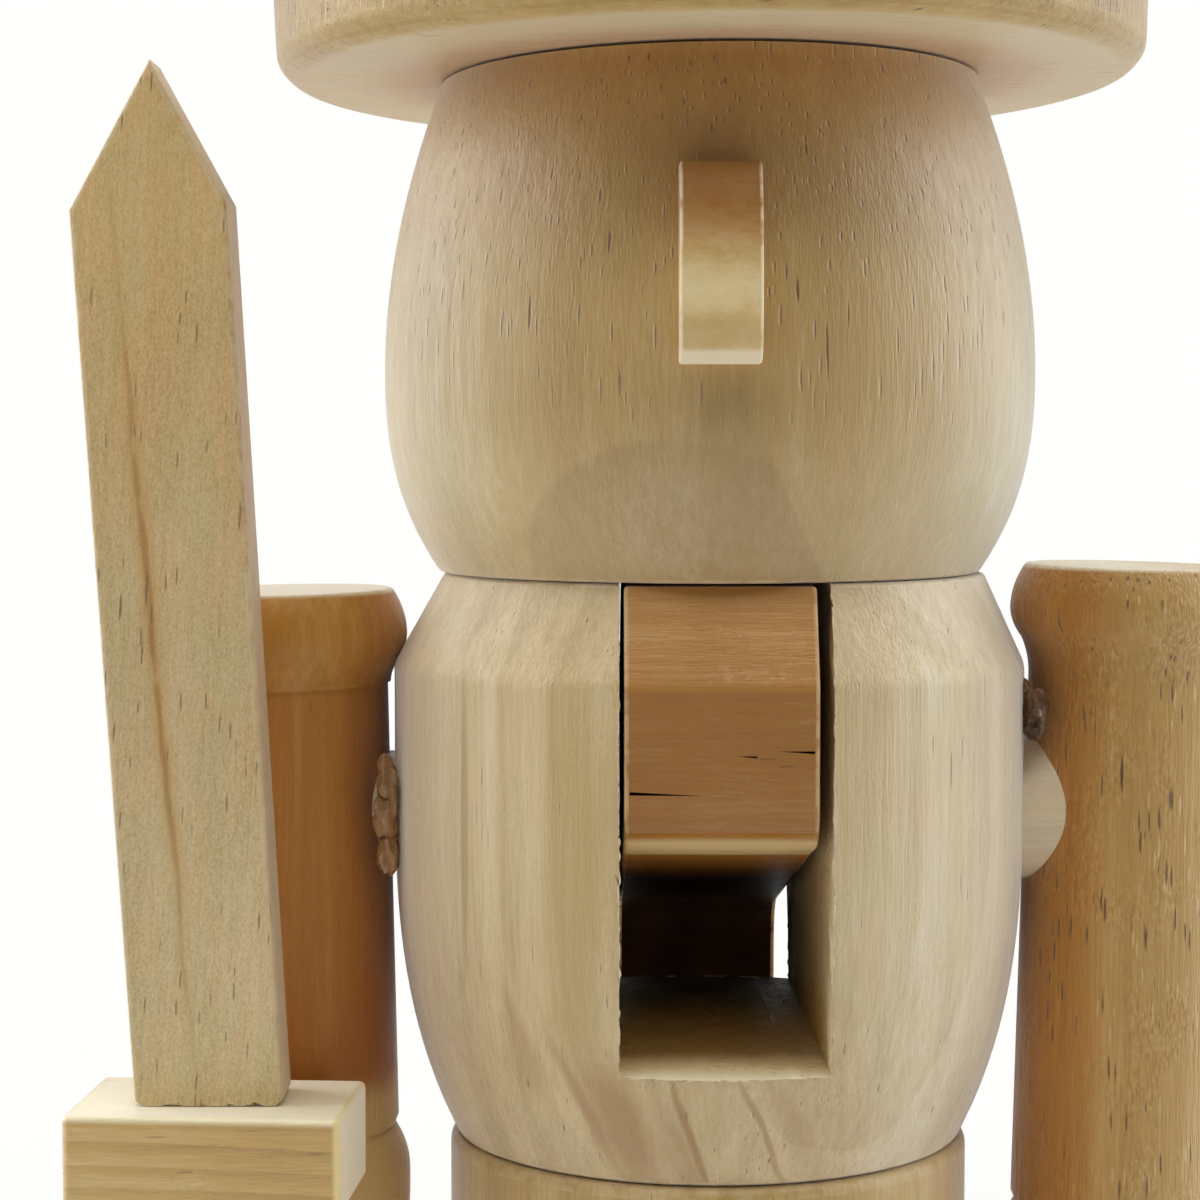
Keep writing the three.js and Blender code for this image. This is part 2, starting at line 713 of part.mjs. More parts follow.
addBase();
for (const [side, x] of [["left", legX], ["right", -legX]]) {
  addToe(side, x);
  addLeg(side, x);
}
addHips();
addTorso();
addJaw();
addHead();
addNose();
addHat();
addArm("left", 1, leftArmX, leftArmLength, leftArmDrop, leftArmGap, leftArmLean, []);
addArm("right", -1, rightArmX, rightArmLength, rightArmDrop, rightArmGap, rightArmLean, [gripGroove()]);
addGlue("left", 1, leftArmX, leftGlueDrop, leftGlueHeight);
addGlue("right", -1, rightArmX, rightGlueDrop, rightGlueHeight);
addSword();

export default soldier;
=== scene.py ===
from functools import reduce
import json
import math
from types import SimpleNamespace

import bmesh
import bpy
from mathutils import Matrix, Vector, noise


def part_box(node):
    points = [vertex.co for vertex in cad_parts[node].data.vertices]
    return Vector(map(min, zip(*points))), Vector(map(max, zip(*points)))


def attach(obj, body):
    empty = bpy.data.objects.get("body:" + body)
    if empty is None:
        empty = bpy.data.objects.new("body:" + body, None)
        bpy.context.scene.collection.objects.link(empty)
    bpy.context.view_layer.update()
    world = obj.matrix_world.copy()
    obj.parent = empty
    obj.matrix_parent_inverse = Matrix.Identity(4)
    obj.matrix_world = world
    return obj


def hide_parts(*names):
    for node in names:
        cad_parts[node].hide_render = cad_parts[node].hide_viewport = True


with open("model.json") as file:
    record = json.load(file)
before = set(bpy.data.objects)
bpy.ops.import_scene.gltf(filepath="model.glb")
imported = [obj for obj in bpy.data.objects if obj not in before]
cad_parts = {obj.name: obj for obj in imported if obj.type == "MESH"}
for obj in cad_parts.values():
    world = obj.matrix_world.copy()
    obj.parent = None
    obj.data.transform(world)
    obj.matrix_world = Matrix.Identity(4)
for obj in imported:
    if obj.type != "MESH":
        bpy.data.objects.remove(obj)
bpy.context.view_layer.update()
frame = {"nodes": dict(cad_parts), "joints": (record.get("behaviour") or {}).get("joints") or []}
scene = bpy.context.scene
mm = 0.001
print("frame loaded,", len(frame["nodes"]), "nodes")


# places from the frame, in millimetres

def low(node):
    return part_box(node)[0] / mm


def high(node):
    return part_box(node)[1] / mm


def middle(node):
    return (low(node) + high(node)) / 2


def span(node):
    return high(node) - low(node)


# shader helpers

def colour(rgb):
    return (*rgb, 1.0)


def fibreScale(width, length):
    return (1 / (width * mm), 1 / (width * mm), 1 / (length * mm))


# a node tree being filled; place holds the coordinates, and shade the colour so far
class Paint:
    def __init__(self, tree, coordinates="Object"):
        self.tree = tree
        self.place = self.node("ShaderNodeTexCoord").outputs[coordinates]
        self.shade = None

    def node(self, kind, **values):
        made = self.tree.nodes.new(kind)
        for key, value in values.items():
            setattr(made, key, value)
        return made

    def feed(self, made, **sources):
        for name, source in sources.items():
            self.put(made.inputs[name.replace("_", " ")], source)

    def put(self, target, source):
        if isinstance(source, bpy.types.NodeSocket):
            self.tree.links.new(source, target)
        else:
            target.default_value = source

    # a node whose first inputs are filled in order
    def filled(self, kind, *sources, **values):
        made = self.node(kind, **values)
        for target, source in zip(made.inputs, sources):
            self.put(target, source)
        return made

    def mix(self, share, first, second, way="MIX"):
        made = self.filled("ShaderNodeMix", share, data_type="RGBA", blend_type=way)
        self.put(made.inputs[6], first)
        self.put(made.inputs[7], second)
        return made.outputs[2]

    def sums(self, way, *values):
        def pair(first, second):
            return self.filled("ShaderNodeMath", first, second, operation=way).outputs[0]
        return reduce(pair, values)

    def times(self, *values):
        return self.sums("MULTIPLY", *values)

    def vector(self, way, *sources):
        return self.filled("ShaderNodeVectorMath", *sources, operation=way)

    def distance(self, place):
        return self.vector("LENGTH", place).outputs["Value"]

    def axis(self, name):
        return self.filled("ShaderNodeSeparateXYZ", self.place).outputs["XYZ".index(name)]

    def attribute(self, name):
        return self.node("ShaderNodeAttribute", attribute_name=name).outputs["Fac"]

    def stretch(self, value, fromMin, fromMax, toMin=0.0, toMax=1.0, way="SMOOTHSTEP"):
        limits = (fromMin, fromMax, toMin, toMax)
        return self.filled("ShaderNodeMapRange", value, *limits, interpolation_type=way).outputs[0]

    def swing(self, value, reach):
        return self.stretch(value, 0.3, 0.7, -reach, reach, "LINEAR")

    def shifted(self, place, scale, location=(0, 0, 0), rotation=(0, 0, 0)):
        turns = [math.radians(turn) for turn in rotation]
        return self.filled("ShaderNodeMapping", place, location, turns, scale).outputs[0]

    # noise drawn out along the grain; width and length of its patches in millimetres
    def noise(self, place, width, length, shift=0.0, detail=2.0, output="Fac"):
        made = self.node("ShaderNodeTexNoise")
        drift = (shift, 1.7 * shift, 0.6 * shift)
        self.feed(made, Vector=self.shifted(place, fibreScale(width, length), drift), Scale=1, Detail=detail)
        return made.outputs[output]

    # place shaken a little, so that strokes and lines are not too straight
    def shaken(self, place, width, length, amount):
        sway = self.vector("SCALE", self.noise(place, width, length, 0, 1.5, "Color"))
        self.feed(sway, Scale=2 * amount * mm)
        return self.vector("ADD", place, sway.outputs[0]).outputs[0]

    # scattered strokes along the grain, one in each cell, with some left out
    def strokes(self, place, spacing, length, reach, keep, shift):
        cells = self.node("ShaderNodeTexVoronoi", feature="F1")
        drift = (shift, 1.3 * shift, 0.7 * shift)
        self.feed(cells, Vector=self.shifted(place, fibreScale(spacing, length), drift), Scale=1)
        stroke = self.stretch(cells.outputs["Distance"], reach, 0.55 * reach)
        parts = self.filled("ShaderNodeSeparateColor", cells.outputs["Color"])
        return self.times(stroke, self.stretch(parts.outputs[0], 1.0 - keep, 1.02 - keep))

    # 0 to 1 along an axis, or along a direction, between two places in millimetres
    def along(self, name, start, end):
        return self.stretch(self.axis(name), start * mm, end * mm)

    def slope(self, direction, start, end):
        reached = self.vector("DOT_PRODUCT", self.place, direction).outputs["Value"]
        return self.stretch(reached, start * mm, end * mm)

    # soft-edged field round a place on the piece, in millimetres
    def field(self, centre, reach, soft=0.6, place=None):
        scale = [1 / (r * mm) for r in reach]
        location = [-c / r for c, r in zip(centre, reach)]
        near = self.shifted(self.place if place is None else place, scale, location)
        return self.stretch(self.distance(near), 1, 1 - soft)

    # field that leans across the front, in degrees, with the coordinates that it is laid on
    def leaning(self, place, centre, reach, lean, soft):
        turned = Matrix.Rotation(math.radians(lean), 3, "Y") @ Vector(centre)
        laid = self.shifted(place, (1, 1, 1), -turned * mm, (0, lean, 0))
        return laid, self.field((0, 0, 0), reach, soft, laid)

    # lays a colour on the shade so far: anywhere, round a place, or along an axis
    def lay(self, share, tint, way="MIX"):
        self.shade = self.mix(share, self.shade, colour(tint), way)

    def mark(self, tint, share, centre, reach, soft=0.6):
        self.lay(self.times(self.field(centre, reach, soft), share), tint)

    def drift(self, name, start, end, tint, way="MULTIPLY"):
        self.lay(self.along(name, start, end), tint, way)


def newMaterial(name):
    material = bpy.data.materials.new(name)
    material.use_nodes = True
    tree = material.node_tree
    return material, Paint(tree), tree.nodes["Principled BSDF"]


# wood: a solid pattern along a grain axis, so end grain and long grain follow the cut

woodDefaults = {
    "grain": "Z",  # axis that the fibres run along
    "lean": 0,  # degrees, tilts the grain across the front
    "pith": (94, -75),  # mm, centre of the growth rings across the grain
    "ringWidth": 5,
    "ringWander": 2.2,
    "ringShare": 0.12,
    "band": (4, 70, 0.2),  # width, length and share of each layer of the grain
    "fibre": (0.5, 12, 0.15),
    "fine": (0.22, 3, 0.11),
    "grit": (0.24, 0.55, 0.16),
    "gritField": (0.42, 0.62),  # where the grit gathers
    "blotch": (16, 22, 0.18),
    "hueShare": 0.25,
    "pore": (0.6, 8, 0.18, 0.5, 0.6),  # spacing, length, reach, how many are kept, and share
    "check": (1.1, 16, 0.15, 0.3, 0.75),
    "poreField": (0.4, 0.6),  # where the strokes gather
    "poreFade": None,  # axis and two places between which the strokes come in
    "flank": 0.3,  # painted highlight on one side of each stroke, standing in for a groove's lit wall
    "roughness": (0.36, 0.54),
    "relief": 0.06,
    "sheen": 0.9,
    "gloss": 0.8,
    "wear": 0.5,  # how pale the rubbed edges are: partly wear, partly a painted highlight
}
# shift and detail of each layer's noise
layerNoise = {
    "band": (3.1, 2.0), "fibre": (7.3, 3.0), "fine": (11.9, 2.0), "grit": (37.7, 3.0), "blotch": (5.7, 2.0),
}
grainTurns = {"Z": (0, 0, 0), "X": (0, -90, 0), "Y": (90, 0, 0)}
pinkTint = (1.05, 0.98, 0.95)
greyTint = (0.95, 1.0, 0.97)
# near-black painted shade deep inside the slot and under the lever
slotShadeTone = (0.007, 0.0028, 0.001)
mouthLightTone = (0.95, 0.85, 0.6)  # painted light at the slot's mouth, where light falls in


# growth rings that wander a little round the pith, 0 to 1 across each ring
def growthRings(paint, place, look):
    swayed = paint.shaken(place, 18, 80, look["ringWander"])
    pithX, pithY = look["pith"]
    rings = paint.node("ShaderNodeTexWave", wave_type="RINGS", rings_direction="Z", wave_profile="SAW")
    centred = paint.shifted(swayed, (1, 1, 0.04), (-pithX * mm, -pithY * mm, 0))
    paint.feed(rings, Vector=centred, Scale=2 * math.pi / (20 * look["ringWidth"] * mm))
    return paint.stretch(rings.outputs["Fac"], 0.3, 1.0)


# painted shade inside the slot, darker the deeper in, where little light reaches; start and end are depths
# in millimetres
def slotShade(start, end, before):
    def marks(paint):
        before(paint)
        depth = paint.slope((0, 1, 0), start, end)
        depth = paint.times(depth, paint.slope((0, 0, 1), 126, 139))
        uneven = paint.stretch(paint.noise(paint.place, 4, 4, 71), 0.2, 0.8, 0.975, 1.0)
        paint.lay(paint.times(depth, uneven), slotShadeTone)
    return marks


def woodMaterial(name, tones, marks=None, **changes):
    look = {**woodDefaults, **changes}
    pale, deep, pore, fleck = tones
    material, paint, shader = newMaterial(name)
    coordinates = paint.place
    turned = paint.shifted(coordinates, (1, 1, 1), rotation=grainTurns[look["grain"]])
    place = paint.shifted(turned, (1, 1, 1), rotation=(0, look["lean"], 0))

    layers = {}
    for layer, (shift, detail) in layerNoise.items():
        within = coordinates if layer == "blotch" else place
        layers[layer] = paint.noise(within, *look[layer][:2], shift, detail)
    gritField = paint.stretch(paint.noise(place, 5, 9, 47.1), *look["gritField"])
    field = paint.stretch(paint.noise(place, 5, 10, 23.5), *look["poreField"])
    if look["poreFade"]:
        field = paint.times(field, paint.along(*look["poreFade"]))
    wavy = paint.shaken(place, 1.2, 2.5, 0.14)
    beside = paint.shifted(wavy, (1, 1, 1), rotation=(0, 0, 0.3))
    pores = paint.times(paint.strokes(wavy, *look["pore"][:4], 17.2), field)
    checks = paint.times(paint.strokes(wavy, *look["check"][:4], 29.4), field)
    # a painted highlight beside each stroke, standing in for a groove's lit wall
    flanks = paint.times(paint.strokes(beside, *look["pore"][:4], 17.2), field)

    swings = {layer: paint.swing(layers[layer], look[layer][2]) for layer in layerNoise}
    swings["grit"] = paint.times(swings["grit"], gritField)
    rings = paint.times(growthRings(paint, place, look), look["ringShare"])
    ordered = [swings[layer] for layer in ("band", "fibre", "blotch", "fine", "grit")]
    tone = paint.sums("ADD", *ordered, rings)
    tone = paint.sums("SUBTRACT", tone, paint.times(flanks, look["flank"]))
    paint.shade = colour(pale)
    paint.lay(paint.stretch(tone, 0, 1, way="LINEAR"), deep)
    paint.lay(paint.stretch(tone, 0, -1, way="LINEAR"), fleck)
    patches = paint.stretch(paint.noise(place, 3.5, 11, 53.3), 0.38, 0.62)
    hues = paint.mix(patches, colour(pinkTint), colour(greyTint))
    paint.shade = paint.mix(look["hueShare"], paint.shade, hues, "MULTIPLY")
    if marks:
        marks(paint)
    # rubbed edges painted paler: partly wear, partly a painted highlight along rounded edges
    ragged = paint.stretch(paint.noise(coordinates, 1.5, 1.5, 41), 0.3, 0.6)
    paint.lay(paint.times(paint.attribute("wornAndHighlit"), ragged, look["wear"]), fleck)
    paint.lay(paint.times(pores, look["pore"][4]), pore)
    paint.lay(paint.times(checks, look["check"][4]), pore)

    fuzz = paint.sums("ADD", layers["fine"], paint.times(layers["grit"], gritField))
    height = paint.sums("ADD", layers["fibre"], fuzz)
    height = paint.sums("SUBTRACT", height, paint.sums("ADD", pores, checks))
    bump = paint.node("ShaderNodeBump")
    paint.feed(bump, Strength=1, Distance=look["relief"] * mm, Height=height)
    roughness = paint.stretch(layers["fibre"], 0.3, 0.7, *look["roughness"], "LINEAR")
    paint.feed(shader, Base_Color=paint.shade, Roughness=roughness, Normal=bump.outputs[0])
    paint.feed(shader, Specular_IOR_Level=look["gloss"], Sheen_Weight=look["sheen"], Sheen_Roughness=0.5)
    return material


# pale, deep, pore and fleck colours of each wood
torsoTones = ((0.63, 0.47, 0.225), (0.43, 0.28, 0.095), (0.25, 0.125, 0.032), (0.78, 0.66, 0.43))
bodyTones = ((0.53, 0.34, 0.108), (0.37, 0.21, 0.053), (0.24, 0.12, 0.03), (0.75, 0.62, 0.38))
headTones = ((0.48, 0.305, 0.095), (0.34, 0.19, 0.046), (0.19, 0.075, 0.014), (0.69, 0.52, 0.27))
hatTones = ((0.43, 0.275, 0.075), (0.31, 0.17, 0.036), (0.16, 0.07, 0.014), (0.62, 0.45, 0.19))
noseTones = ((0.84, 0.62, 0.28), (0.64, 0.41, 0.13), (0.4, 0.2, 0.055), (0.92, 0.8, 0.58))
honeyTones = ((0.57, 0.35, 0.11), (0.39, 0.2, 0.045), (0.16, 0.065, 0.013), (0.76, 0.57, 0.3))
# darker and redder than the other arm's tones: partly its own colour, partly painted shade from the sword in
# front of it
rustShadedTones = ((0.47, 0.195, 0.028), (0.31, 0.108, 0.012), (0.14, 0.045, 0.008), (0.62, 0.37, 0.13))
jawTones = ((0.37, 0.163, 0.036), (0.24, 0.094, 0.017), (0.08, 0.028, 0.006), (0.57, 0.37, 0.16))
bladeTones = ((0.66, 0.49, 0.245), (0.47, 0.315, 0.135), (0.27, 0.14, 0.04), (0.78, 0.63, 0.38))
guardTones = ((0.64, 0.41, 0.12), (0.4, 0.2, 0.04), (0.28, 0.12, 0.022), (0.8, 0.62, 0.31))
dowelTones = ((0.78, 0.65, 0.43), (0.6, 0.46, 0.26), (0.32, 0.19, 0.08), (0.85, 0.75, 0.56))
slotTones = ((0.95, 0.76, 0.42), (0.7, 0.5, 0.22), (0.34, 0.19, 0.06), (0.95, 0.84, 0.58))
# near-black painted shade for the inside of the cracks
crackShadeTone = (0.05, 0.02, 0.006)
# painted light: paler tones for the guard's top and end, the brim's underside and the chin's rounded lower
# edge
guardTopLight = (0.97, 0.87, 0.56)
guardEndLight = (0.9, 0.72, 0.3)
underHatLight = (0.65, 0.51, 0.25)
chinHighlight = (0.62, 0.46, 0.23)


# growth rings cut across at the foot of the torso: across x, height z, width, lean in degrees and share
torsoRings = (
    (-1.5, 139, 0.55, 19, 0.95), (-2.9, 138, 1.9, 20, 0.5), (-11.2, 142, 1.0, 26, 0.8),
    (-7.6, 140, 3.4, 23, 0.9), (5.2, 139, 0.5, 22, 0.7), (8.6, 139, 1.9, 23, 0.35),
    (-16.8, 147, 1.6, 24, 0.55),
)
ringTone = (0.4, 0.21, 0.05)


def torsoMarks(paint):
    # painted light: the left side paler, and the right side paler and whiter
    paint.drift("X", -14, -26, (1.08, 1.1, 1.1))
    paint.drift("X", 2, 22, (1.05, 1.13, 1.35))
    paint.mark((0.42, 0.29, 0.085), 0.8, (-23.1, -20.3, 166), (0.45, 3, 20))
    paint.mark((0.48, 0.33, 0.09), 0.6, (-13.2, -27, 163), (3.4, 8, 26))
    wavy = paint.shaken(paint.place, 5, 7, 0.7)
    for x, z, width, lean, share in torsoRings:
        ring = paint.leaning(wavy, (x, -27, z), (width, 9, 11), lean, 0.7)[1]
        paint.lay(paint.times(ring, share), ringTone)


def headPaintedLight(paint):
    # painted shade under the brim: darker and warmer towards the top, darkest just above the nose
    paint.drift("Z", 216, 236, (0.87, 0.7, 0.42))
    paint.mark((0.3, 0.14, 0.035), 0.5, (-0.2, -31, 229), (10, 8, 7), 0.95)
    # painted light: the lower head paler, and its sides paler and whiter, as a painted sheen
    paint.drift("Z", 207, 196, (1.11, 1.18, 1.4))
    paint.drift("X", -12, -29, (1.17, 1.33, 1.7))
    paint.drift("X", 9, 29, (1.08, 1.23, 1.6))
    paint.lay(paint.slope((-0.7, 0, -0.7), -133, -122), (1.13, 1.2, 1.28), "MULTIPLY")
    paint.lay(paint.slope((0.7, 0, -0.7), -133, -122), (1.0, 1.09, 1.24), "MULTIPLY")
    # painted shadow in the shape of two hills below the nose, cut off by a line
    leftOfLine = paint.slope((1, 0, 0.47), 99.0, 98.2)
    hill = paint.field((-4, -30, 188), (17, 16, 14.6), 0.07)
    front = paint.slope((0, 1, 0), -18, -24)
    peak = paint.times(paint.slope((1, 0, -1.5), -310, -308), front, 0.55)
    paintedShadow = paint.times(paint.sums("MAXIMUM", hill, peak), leftOfLine, 0.8)
    paint.lay(paintedShadow, (0.83, 0.8, 0.78), "MULTIPLY")


def nosePaintedLight(paint):
    # painted light: a highlight across the nose's middle, painted shade on its top under the brim and on its
    # lower part, and a painted highlight on its lip
    steady = paint.place
    paint.place = paint.shaken(steady, 1.6, 1.2, 0.5)
    paint.mark((0.9, 0.75, 0.44), 0.6, (0, -36, 215.6), (30, 30, 3.2), 0.95)
    paint.drift("Z", 215.6, 223.4, (0.46, 0.26, 0.075))
    paint.mark((0.56, 0.39, 0.15), 0.55, (0, -36, 211.7), (30, 30, 2.8), 0.9)
    paint.place = steady
    paint.drift("Z", 210, 209.5, (0.88, 0.74, 0.52), "MIX")


# painted light: the slot's lining paler towards its mouth
def mouthLightMarks(paint):
    paint.drift("Y", -22, -27, mouthLightTone, "MIX")


# painted highlight on the chin's rounded lower edge, where it turns under
def chinHighlightMarks(paint):
    paint.mark(chinHighlight, 0.9, (0, -27, 163.6), (60, 7, 3.6), 0.25)


def jawMarks(paint):
    # painted light: the sloping top paler, where it faces up
    paint.drift("Z", 179.4, 180.4, (1.26, 1.34, 1.3))
    chinHighlightMarks(paint)
    frayed = paint.stretch(paint.noise(paint.place, 1.2, 0.7, 61, 3.0), 0.5, 0.62)
    ragged = paint.field((2, -29.2, 181.4), (11, 3, 1.4), 0.7)
    paint.lay(paint.times(ragged, frayed, 0.3), (0.6, 0.4, 0.18))


# the streak runs down the blade's front and breaks up on the way
bladeStreak = {"start": (-53.8, -23.9, 223.4), "end": (-46.9, -23.9, 143.9)}


def bladeMarks(paint):
    start, end = Vector(bladeStreak["start"]), Vector(bladeStreak["end"])
    lean = math.degrees(math.atan2(end.x - start.x, start.z - end.z))
    wavy = paint.shaken(paint.place, 3, 9, 0.55)
    laid, halo = paint.leaning(wavy, (start + end) / 2, (1.5, 4, 52), lean, 0.95)
    core = paint.field((0, 0, 0), (0.55, 4, 50), 0.9, laid)
    broken = paint.stretch(paint.noise(laid, 0.6, 4, 83, 3.0), 0.3, 0.5)
    paint.lay(paint.times(halo, 0.6), (0.58, 0.34, 0.09))
    paint.lay(paint.times(core, broken, 0.85), (0.42, 0.2, 0.045))
    paint.lay(paint.slope((0.998, 0, 0.059), -31.4, -31.0), (0.82, 0.74, 0.6), "MULTIPLY")
    paint.drift("Z", 175, 225, (1.05, 0.97, 0.8))
    paint.drift("Z", 180, 150, (1.08, 1.12, 1.18))


# strokes on the brim's side: spacing, length, reach, how many are kept, shift, share and colour
endGrain = (
    ((0.4, 5, 0.36, 0.6, 95), 0.6, (0.68, 0.52, 0.27)),
    ((0.32, 4, 0.34, 0.55, 97), 0.6, (0.22, 0.12, 0.04)),
    ((0.42, 6, 0.36, 0.6, 91), 0.9, (0.085, 0.04, 0.012)),
)


# end grain at the two ends of the plank shows as dark upright strokes on the brim's side
def hatMarks(paint):
    across = paint.sums("ABSOLUTE", paint.axis("X"), 0)
    radius = paint.distance(paint.shifted(paint.place, (1, 1, 0)))
    side = paint.stretch(radius, 40.6 * mm, 41.5 * mm)
    above = paint.slope((0, 0, 1), 238.6, 240.2)
    ends = paint.times(paint.stretch(across, 12 * mm, 24 * mm), side, above)
    wavy = paint.shaken(paint.place, 1.2, 2.5, 0.2)
    for layout, share, tint in endGrain:
        paint.lay(paint.times(paint.strokes(wavy, *layout), ends, share), tint)
    # painted light on the brim's underside, and painted shade on it near the head
    inside = paint.stretch(radius, 40.6 * mm, 39 * mm)
    under = paint.times(inside, paint.slope((0, 0, 1), 241, 240))
    paint.lay(paint.times(under, 0.85), underHatLight)
    near = paint.times(paint.stretch(radius, 35 * mm, 27 * mm), under)
    paint.lay(near, (0.85, 0.58, 0.2), "MULTIPLY")


# painted light: the top of a piece paler, where it faces up
def paintedTopLight(paint, node, tint, soft=0.6):
    paint.drift("Z", high(node).z - soft, high(node).z - 0.2, tint, "MIX")


def honeyMarks(paint):
    # painted shade on the side that faces the torso, a painted sheen on the outer side, and painted light on
    # the top
    paint.drift("X", 41, 33, (0.9, 0.62, 0.25))
    paint.drift("X", 43, 51, (1.12, 1.26, 1.7))
    paintedTopLight(paint, "arm_left", (0.82, 0.72, 0.5))


def rustMarks(paint):
    # painted shade on the lower arm behind the sword and on the side facing the torso, and painted light on
    # the cap and top
    paint.drift("Z", 165, 140, (0.9, 0.76, 0.5))
    paint.drift("X", -37, -32, (0.8, 0.68, 0.5))
    paint.drift("Z", 175, 181, (1.14, 1.3, 1.3))
    paint.drift("Z", 141, 137, (0.58, 0.38, 0.145), "MIX")
    paintedTopLight(paint, "arm_right", (0.66, 0.58, 0.43))


# painted light: the top and the right end are paler than the front, where light falls on them
def guardMarks(paint):
    paintedTopLight(paint, "sword_guard", guardTopLight, 0.8)
    paint.lay(paint.slope((0.998, -0.07, 0), -32.6, -32.1), guardEndLight)


lining = {"sheen": 0, "gloss": 0.02}
jawGrain = {
    "grain": "X", "pith": (25, 60), "ringShare": 0.04, "band": (3, 50, 0.1), "fibre": (0.5, 9, 0.1),
    "fine": (0.22, 2, 0.07), "grit": (0.3, 0.5, 0.1), "hueShare": 0.1, "poreField": (0.58, 0.72),
}
torsoWood = woodMaterial(
    "torsoWood", torsoTones, torsoMarks, flank=0.5, fibre=(0.5, 14, 0.2), poreField=(0.36, 0.56),
    pith=(50, -90), ringWidth=6.5, ringWander=3.5, ringShare=0.3, band=(2.6, 90, 0.3),
)
bodyWood = woodMaterial("bodyWood", bodyTones, ringShare=0.2, sheen=0.6, gloss=0.6, wear=0.25)
headWood = woodMaterial(
    "headWood", headTones, headPaintedLight, ringShare=0.03, band=(4, 50, 0.14), fibre=(0.7, 10, 0.14),
    grit=(0.3, 0.8, 0.08), poreField=(0.34, 0.5), poreFade=("Z", 199, 210), flank=0.8,
    pore=(0.5, 7, 0.24, 0.65, 0.8), check=(0.9, 17, 0.19, 0.45, 0.95),
)
hatWood = woodMaterial(
    "hatWood", hatTones, hatMarks, grain="X", pith=(20, 70), sheen=0.4, gloss=0.5, wear=0.3,
)
noseWood = woodMaterial(
    "noseWood", noseTones, nosePaintedLight, grain="X", pith=(30, 90), ringShare=0, wear=0.6, relief=0.03,
    band=(1.6, 2.4, 0.35), fibre=(0.5, 0.9, 0.14), fine=(0.3, 0.5, 0.12), grit=(0.3, 0.4, 0.12),
    poreField=(0.9, 1.0), sheen=0.3, gloss=0.4,
)
armWoods = {
    "arm_left": woodMaterial(
        "armHoney", honeyTones, honeyMarks, grit=(0.3, 0.8, 0.5), gritField=(0.42, 0.6), hueShare=0.1,
        blotch=(9, 30, 0.1), poreField=(0.42, 0.54), flank=0.8, relief=0.16, wear=0.1, sheen=0.4, gloss=0.4,
        pore=(0.5, 5, 0.27, 0.6, 0.75), check=(1.0, 15, 0.18, 0.45, 0.9),
    ),
    "arm_right": woodMaterial(
        "armRustShaded", rustShadedTones, rustMarks, grit=(0.3, 0.9, 0.05), fibre=(0.6, 20, 0.1), band=(1.6, 45, 0.2),
        hueShare=0.1, blotch=(8, 30, 0.12), poreField=(0.55, 0.7), wear=0.25, sheen=0.3, gloss=0.4,
    ),
}
jawWood = woodMaterial("jawWood", jawTones, jawMarks, wear=0.8, sheen=0.3, gloss=0.35, **jawGrain)
bladeWood = woodMaterial(
    "bladeWood", bladeTones, bladeMarks, lean=-3.4, ringShare=0.04, wear=0.6, hueShare=0.7, relief=0.1,
    sheen=0.4, gloss=0.5, grit=(0.17, 0.3, 0.5), gritField=(0.1, 0.4), fine=(0.22, 1.2, 0.2),
    poreField=(0.34, 0.5), pore=(0.5, 5, 0.22, 0.5, 0.7), check=(1.0, 12, 0.15, 0.4, 0.85),
)
guardWood = woodMaterial(
    "guardWood", guardTones, guardMarks, grain="X", pith=(160, 25), ringWidth=2.2, ringShare=0.45, wear=0.25,
)
dowelWood = woodMaterial("dowelWood", dowelTones, grain="X", pith=(60, 30))
# the slot's lining: pale at the mouth as painted light, near-black further in as painted shade
slotWood = woodMaterial(
    "slotWood", slotTones, slotShade(0, 27, mouthLightMarks), grain="X", lean=30,
    fibre=(0.5, 4, 0.45), fine=(0.25, 1.5, 0.3), relief=0.15, **lining,
)
# the lever's underside lining, with painted shade further into the slot
jawLining = woodMaterial("jawLining", jawTones, slotShade(-21, 11, chinHighlightMarks), **lining, **jawGrain)
crackShade = woodMaterial("crackShade", (crackShadeTone,) * 4, **lining)


def glueMaterial(name, tint, clear):
    material, paint, shader = newMaterial(name)
    cloud = paint.stretch(paint.noise(paint.place, 2.2, 2.2, 4.4, 3.0), 0.35, 0.65)
    darker = [0.8 * c for c in tint]
    bump = paint.node("ShaderNodeBump")
    paint.feed(bump, Distance=0.12 * mm, Height=paint.noise(paint.place, 1.1, 1.1, 9.1))
    paint.feed(shader, Base_Color=paint.mix(cloud, colour(tint), colour(darker)), Normal=bump.outputs[0])
    paint.feed(shader, Roughness=paint.stretch(cloud, 0, 1, 0.12, 0.3, "LINEAR"))
    paint.feed(shader, Transmission_Weight=clear, IOR=1.48)
    return material


cloudyGlue = glueMaterial("cloudyGlue", (0.66, 0.4, 0.2), 0.5)
clearGlue = glueMaterial("clearGlue", (0.42, 0.27, 0.18), 0.9)
print("materials made")


# pieces

sharpAngle = math.radians(38)
edgeBend = math.radians(9)  # faces that turn more than this, and are narrow, count as rubbed edges, painted paler as wear and as a highlight
edgeWidth = 1.2
mergeReach = 0.002
cutReach = 0.0005


# faces carry a value for the materials: one for rubbed edges, painted paler partly as wear and partly as a
# highlight
def newShape():
    shape = bmesh.new()
    shape.faces.layers.float.new("wornAndHighlit")
    return shape


def faceOutwards(shape):
    bmesh.ops.recalc_face_normals(shape, faces=shape.faces)


def wearFaces(shape, faces):
    layer = shape.faces.layers.float["wornAndHighlit"]
    for face in faces:
        face[layer] = 1


# faces that take another of the piece's materials
def lineFaces(faces, place=1):
    for face in faces:
        face.material_index = place


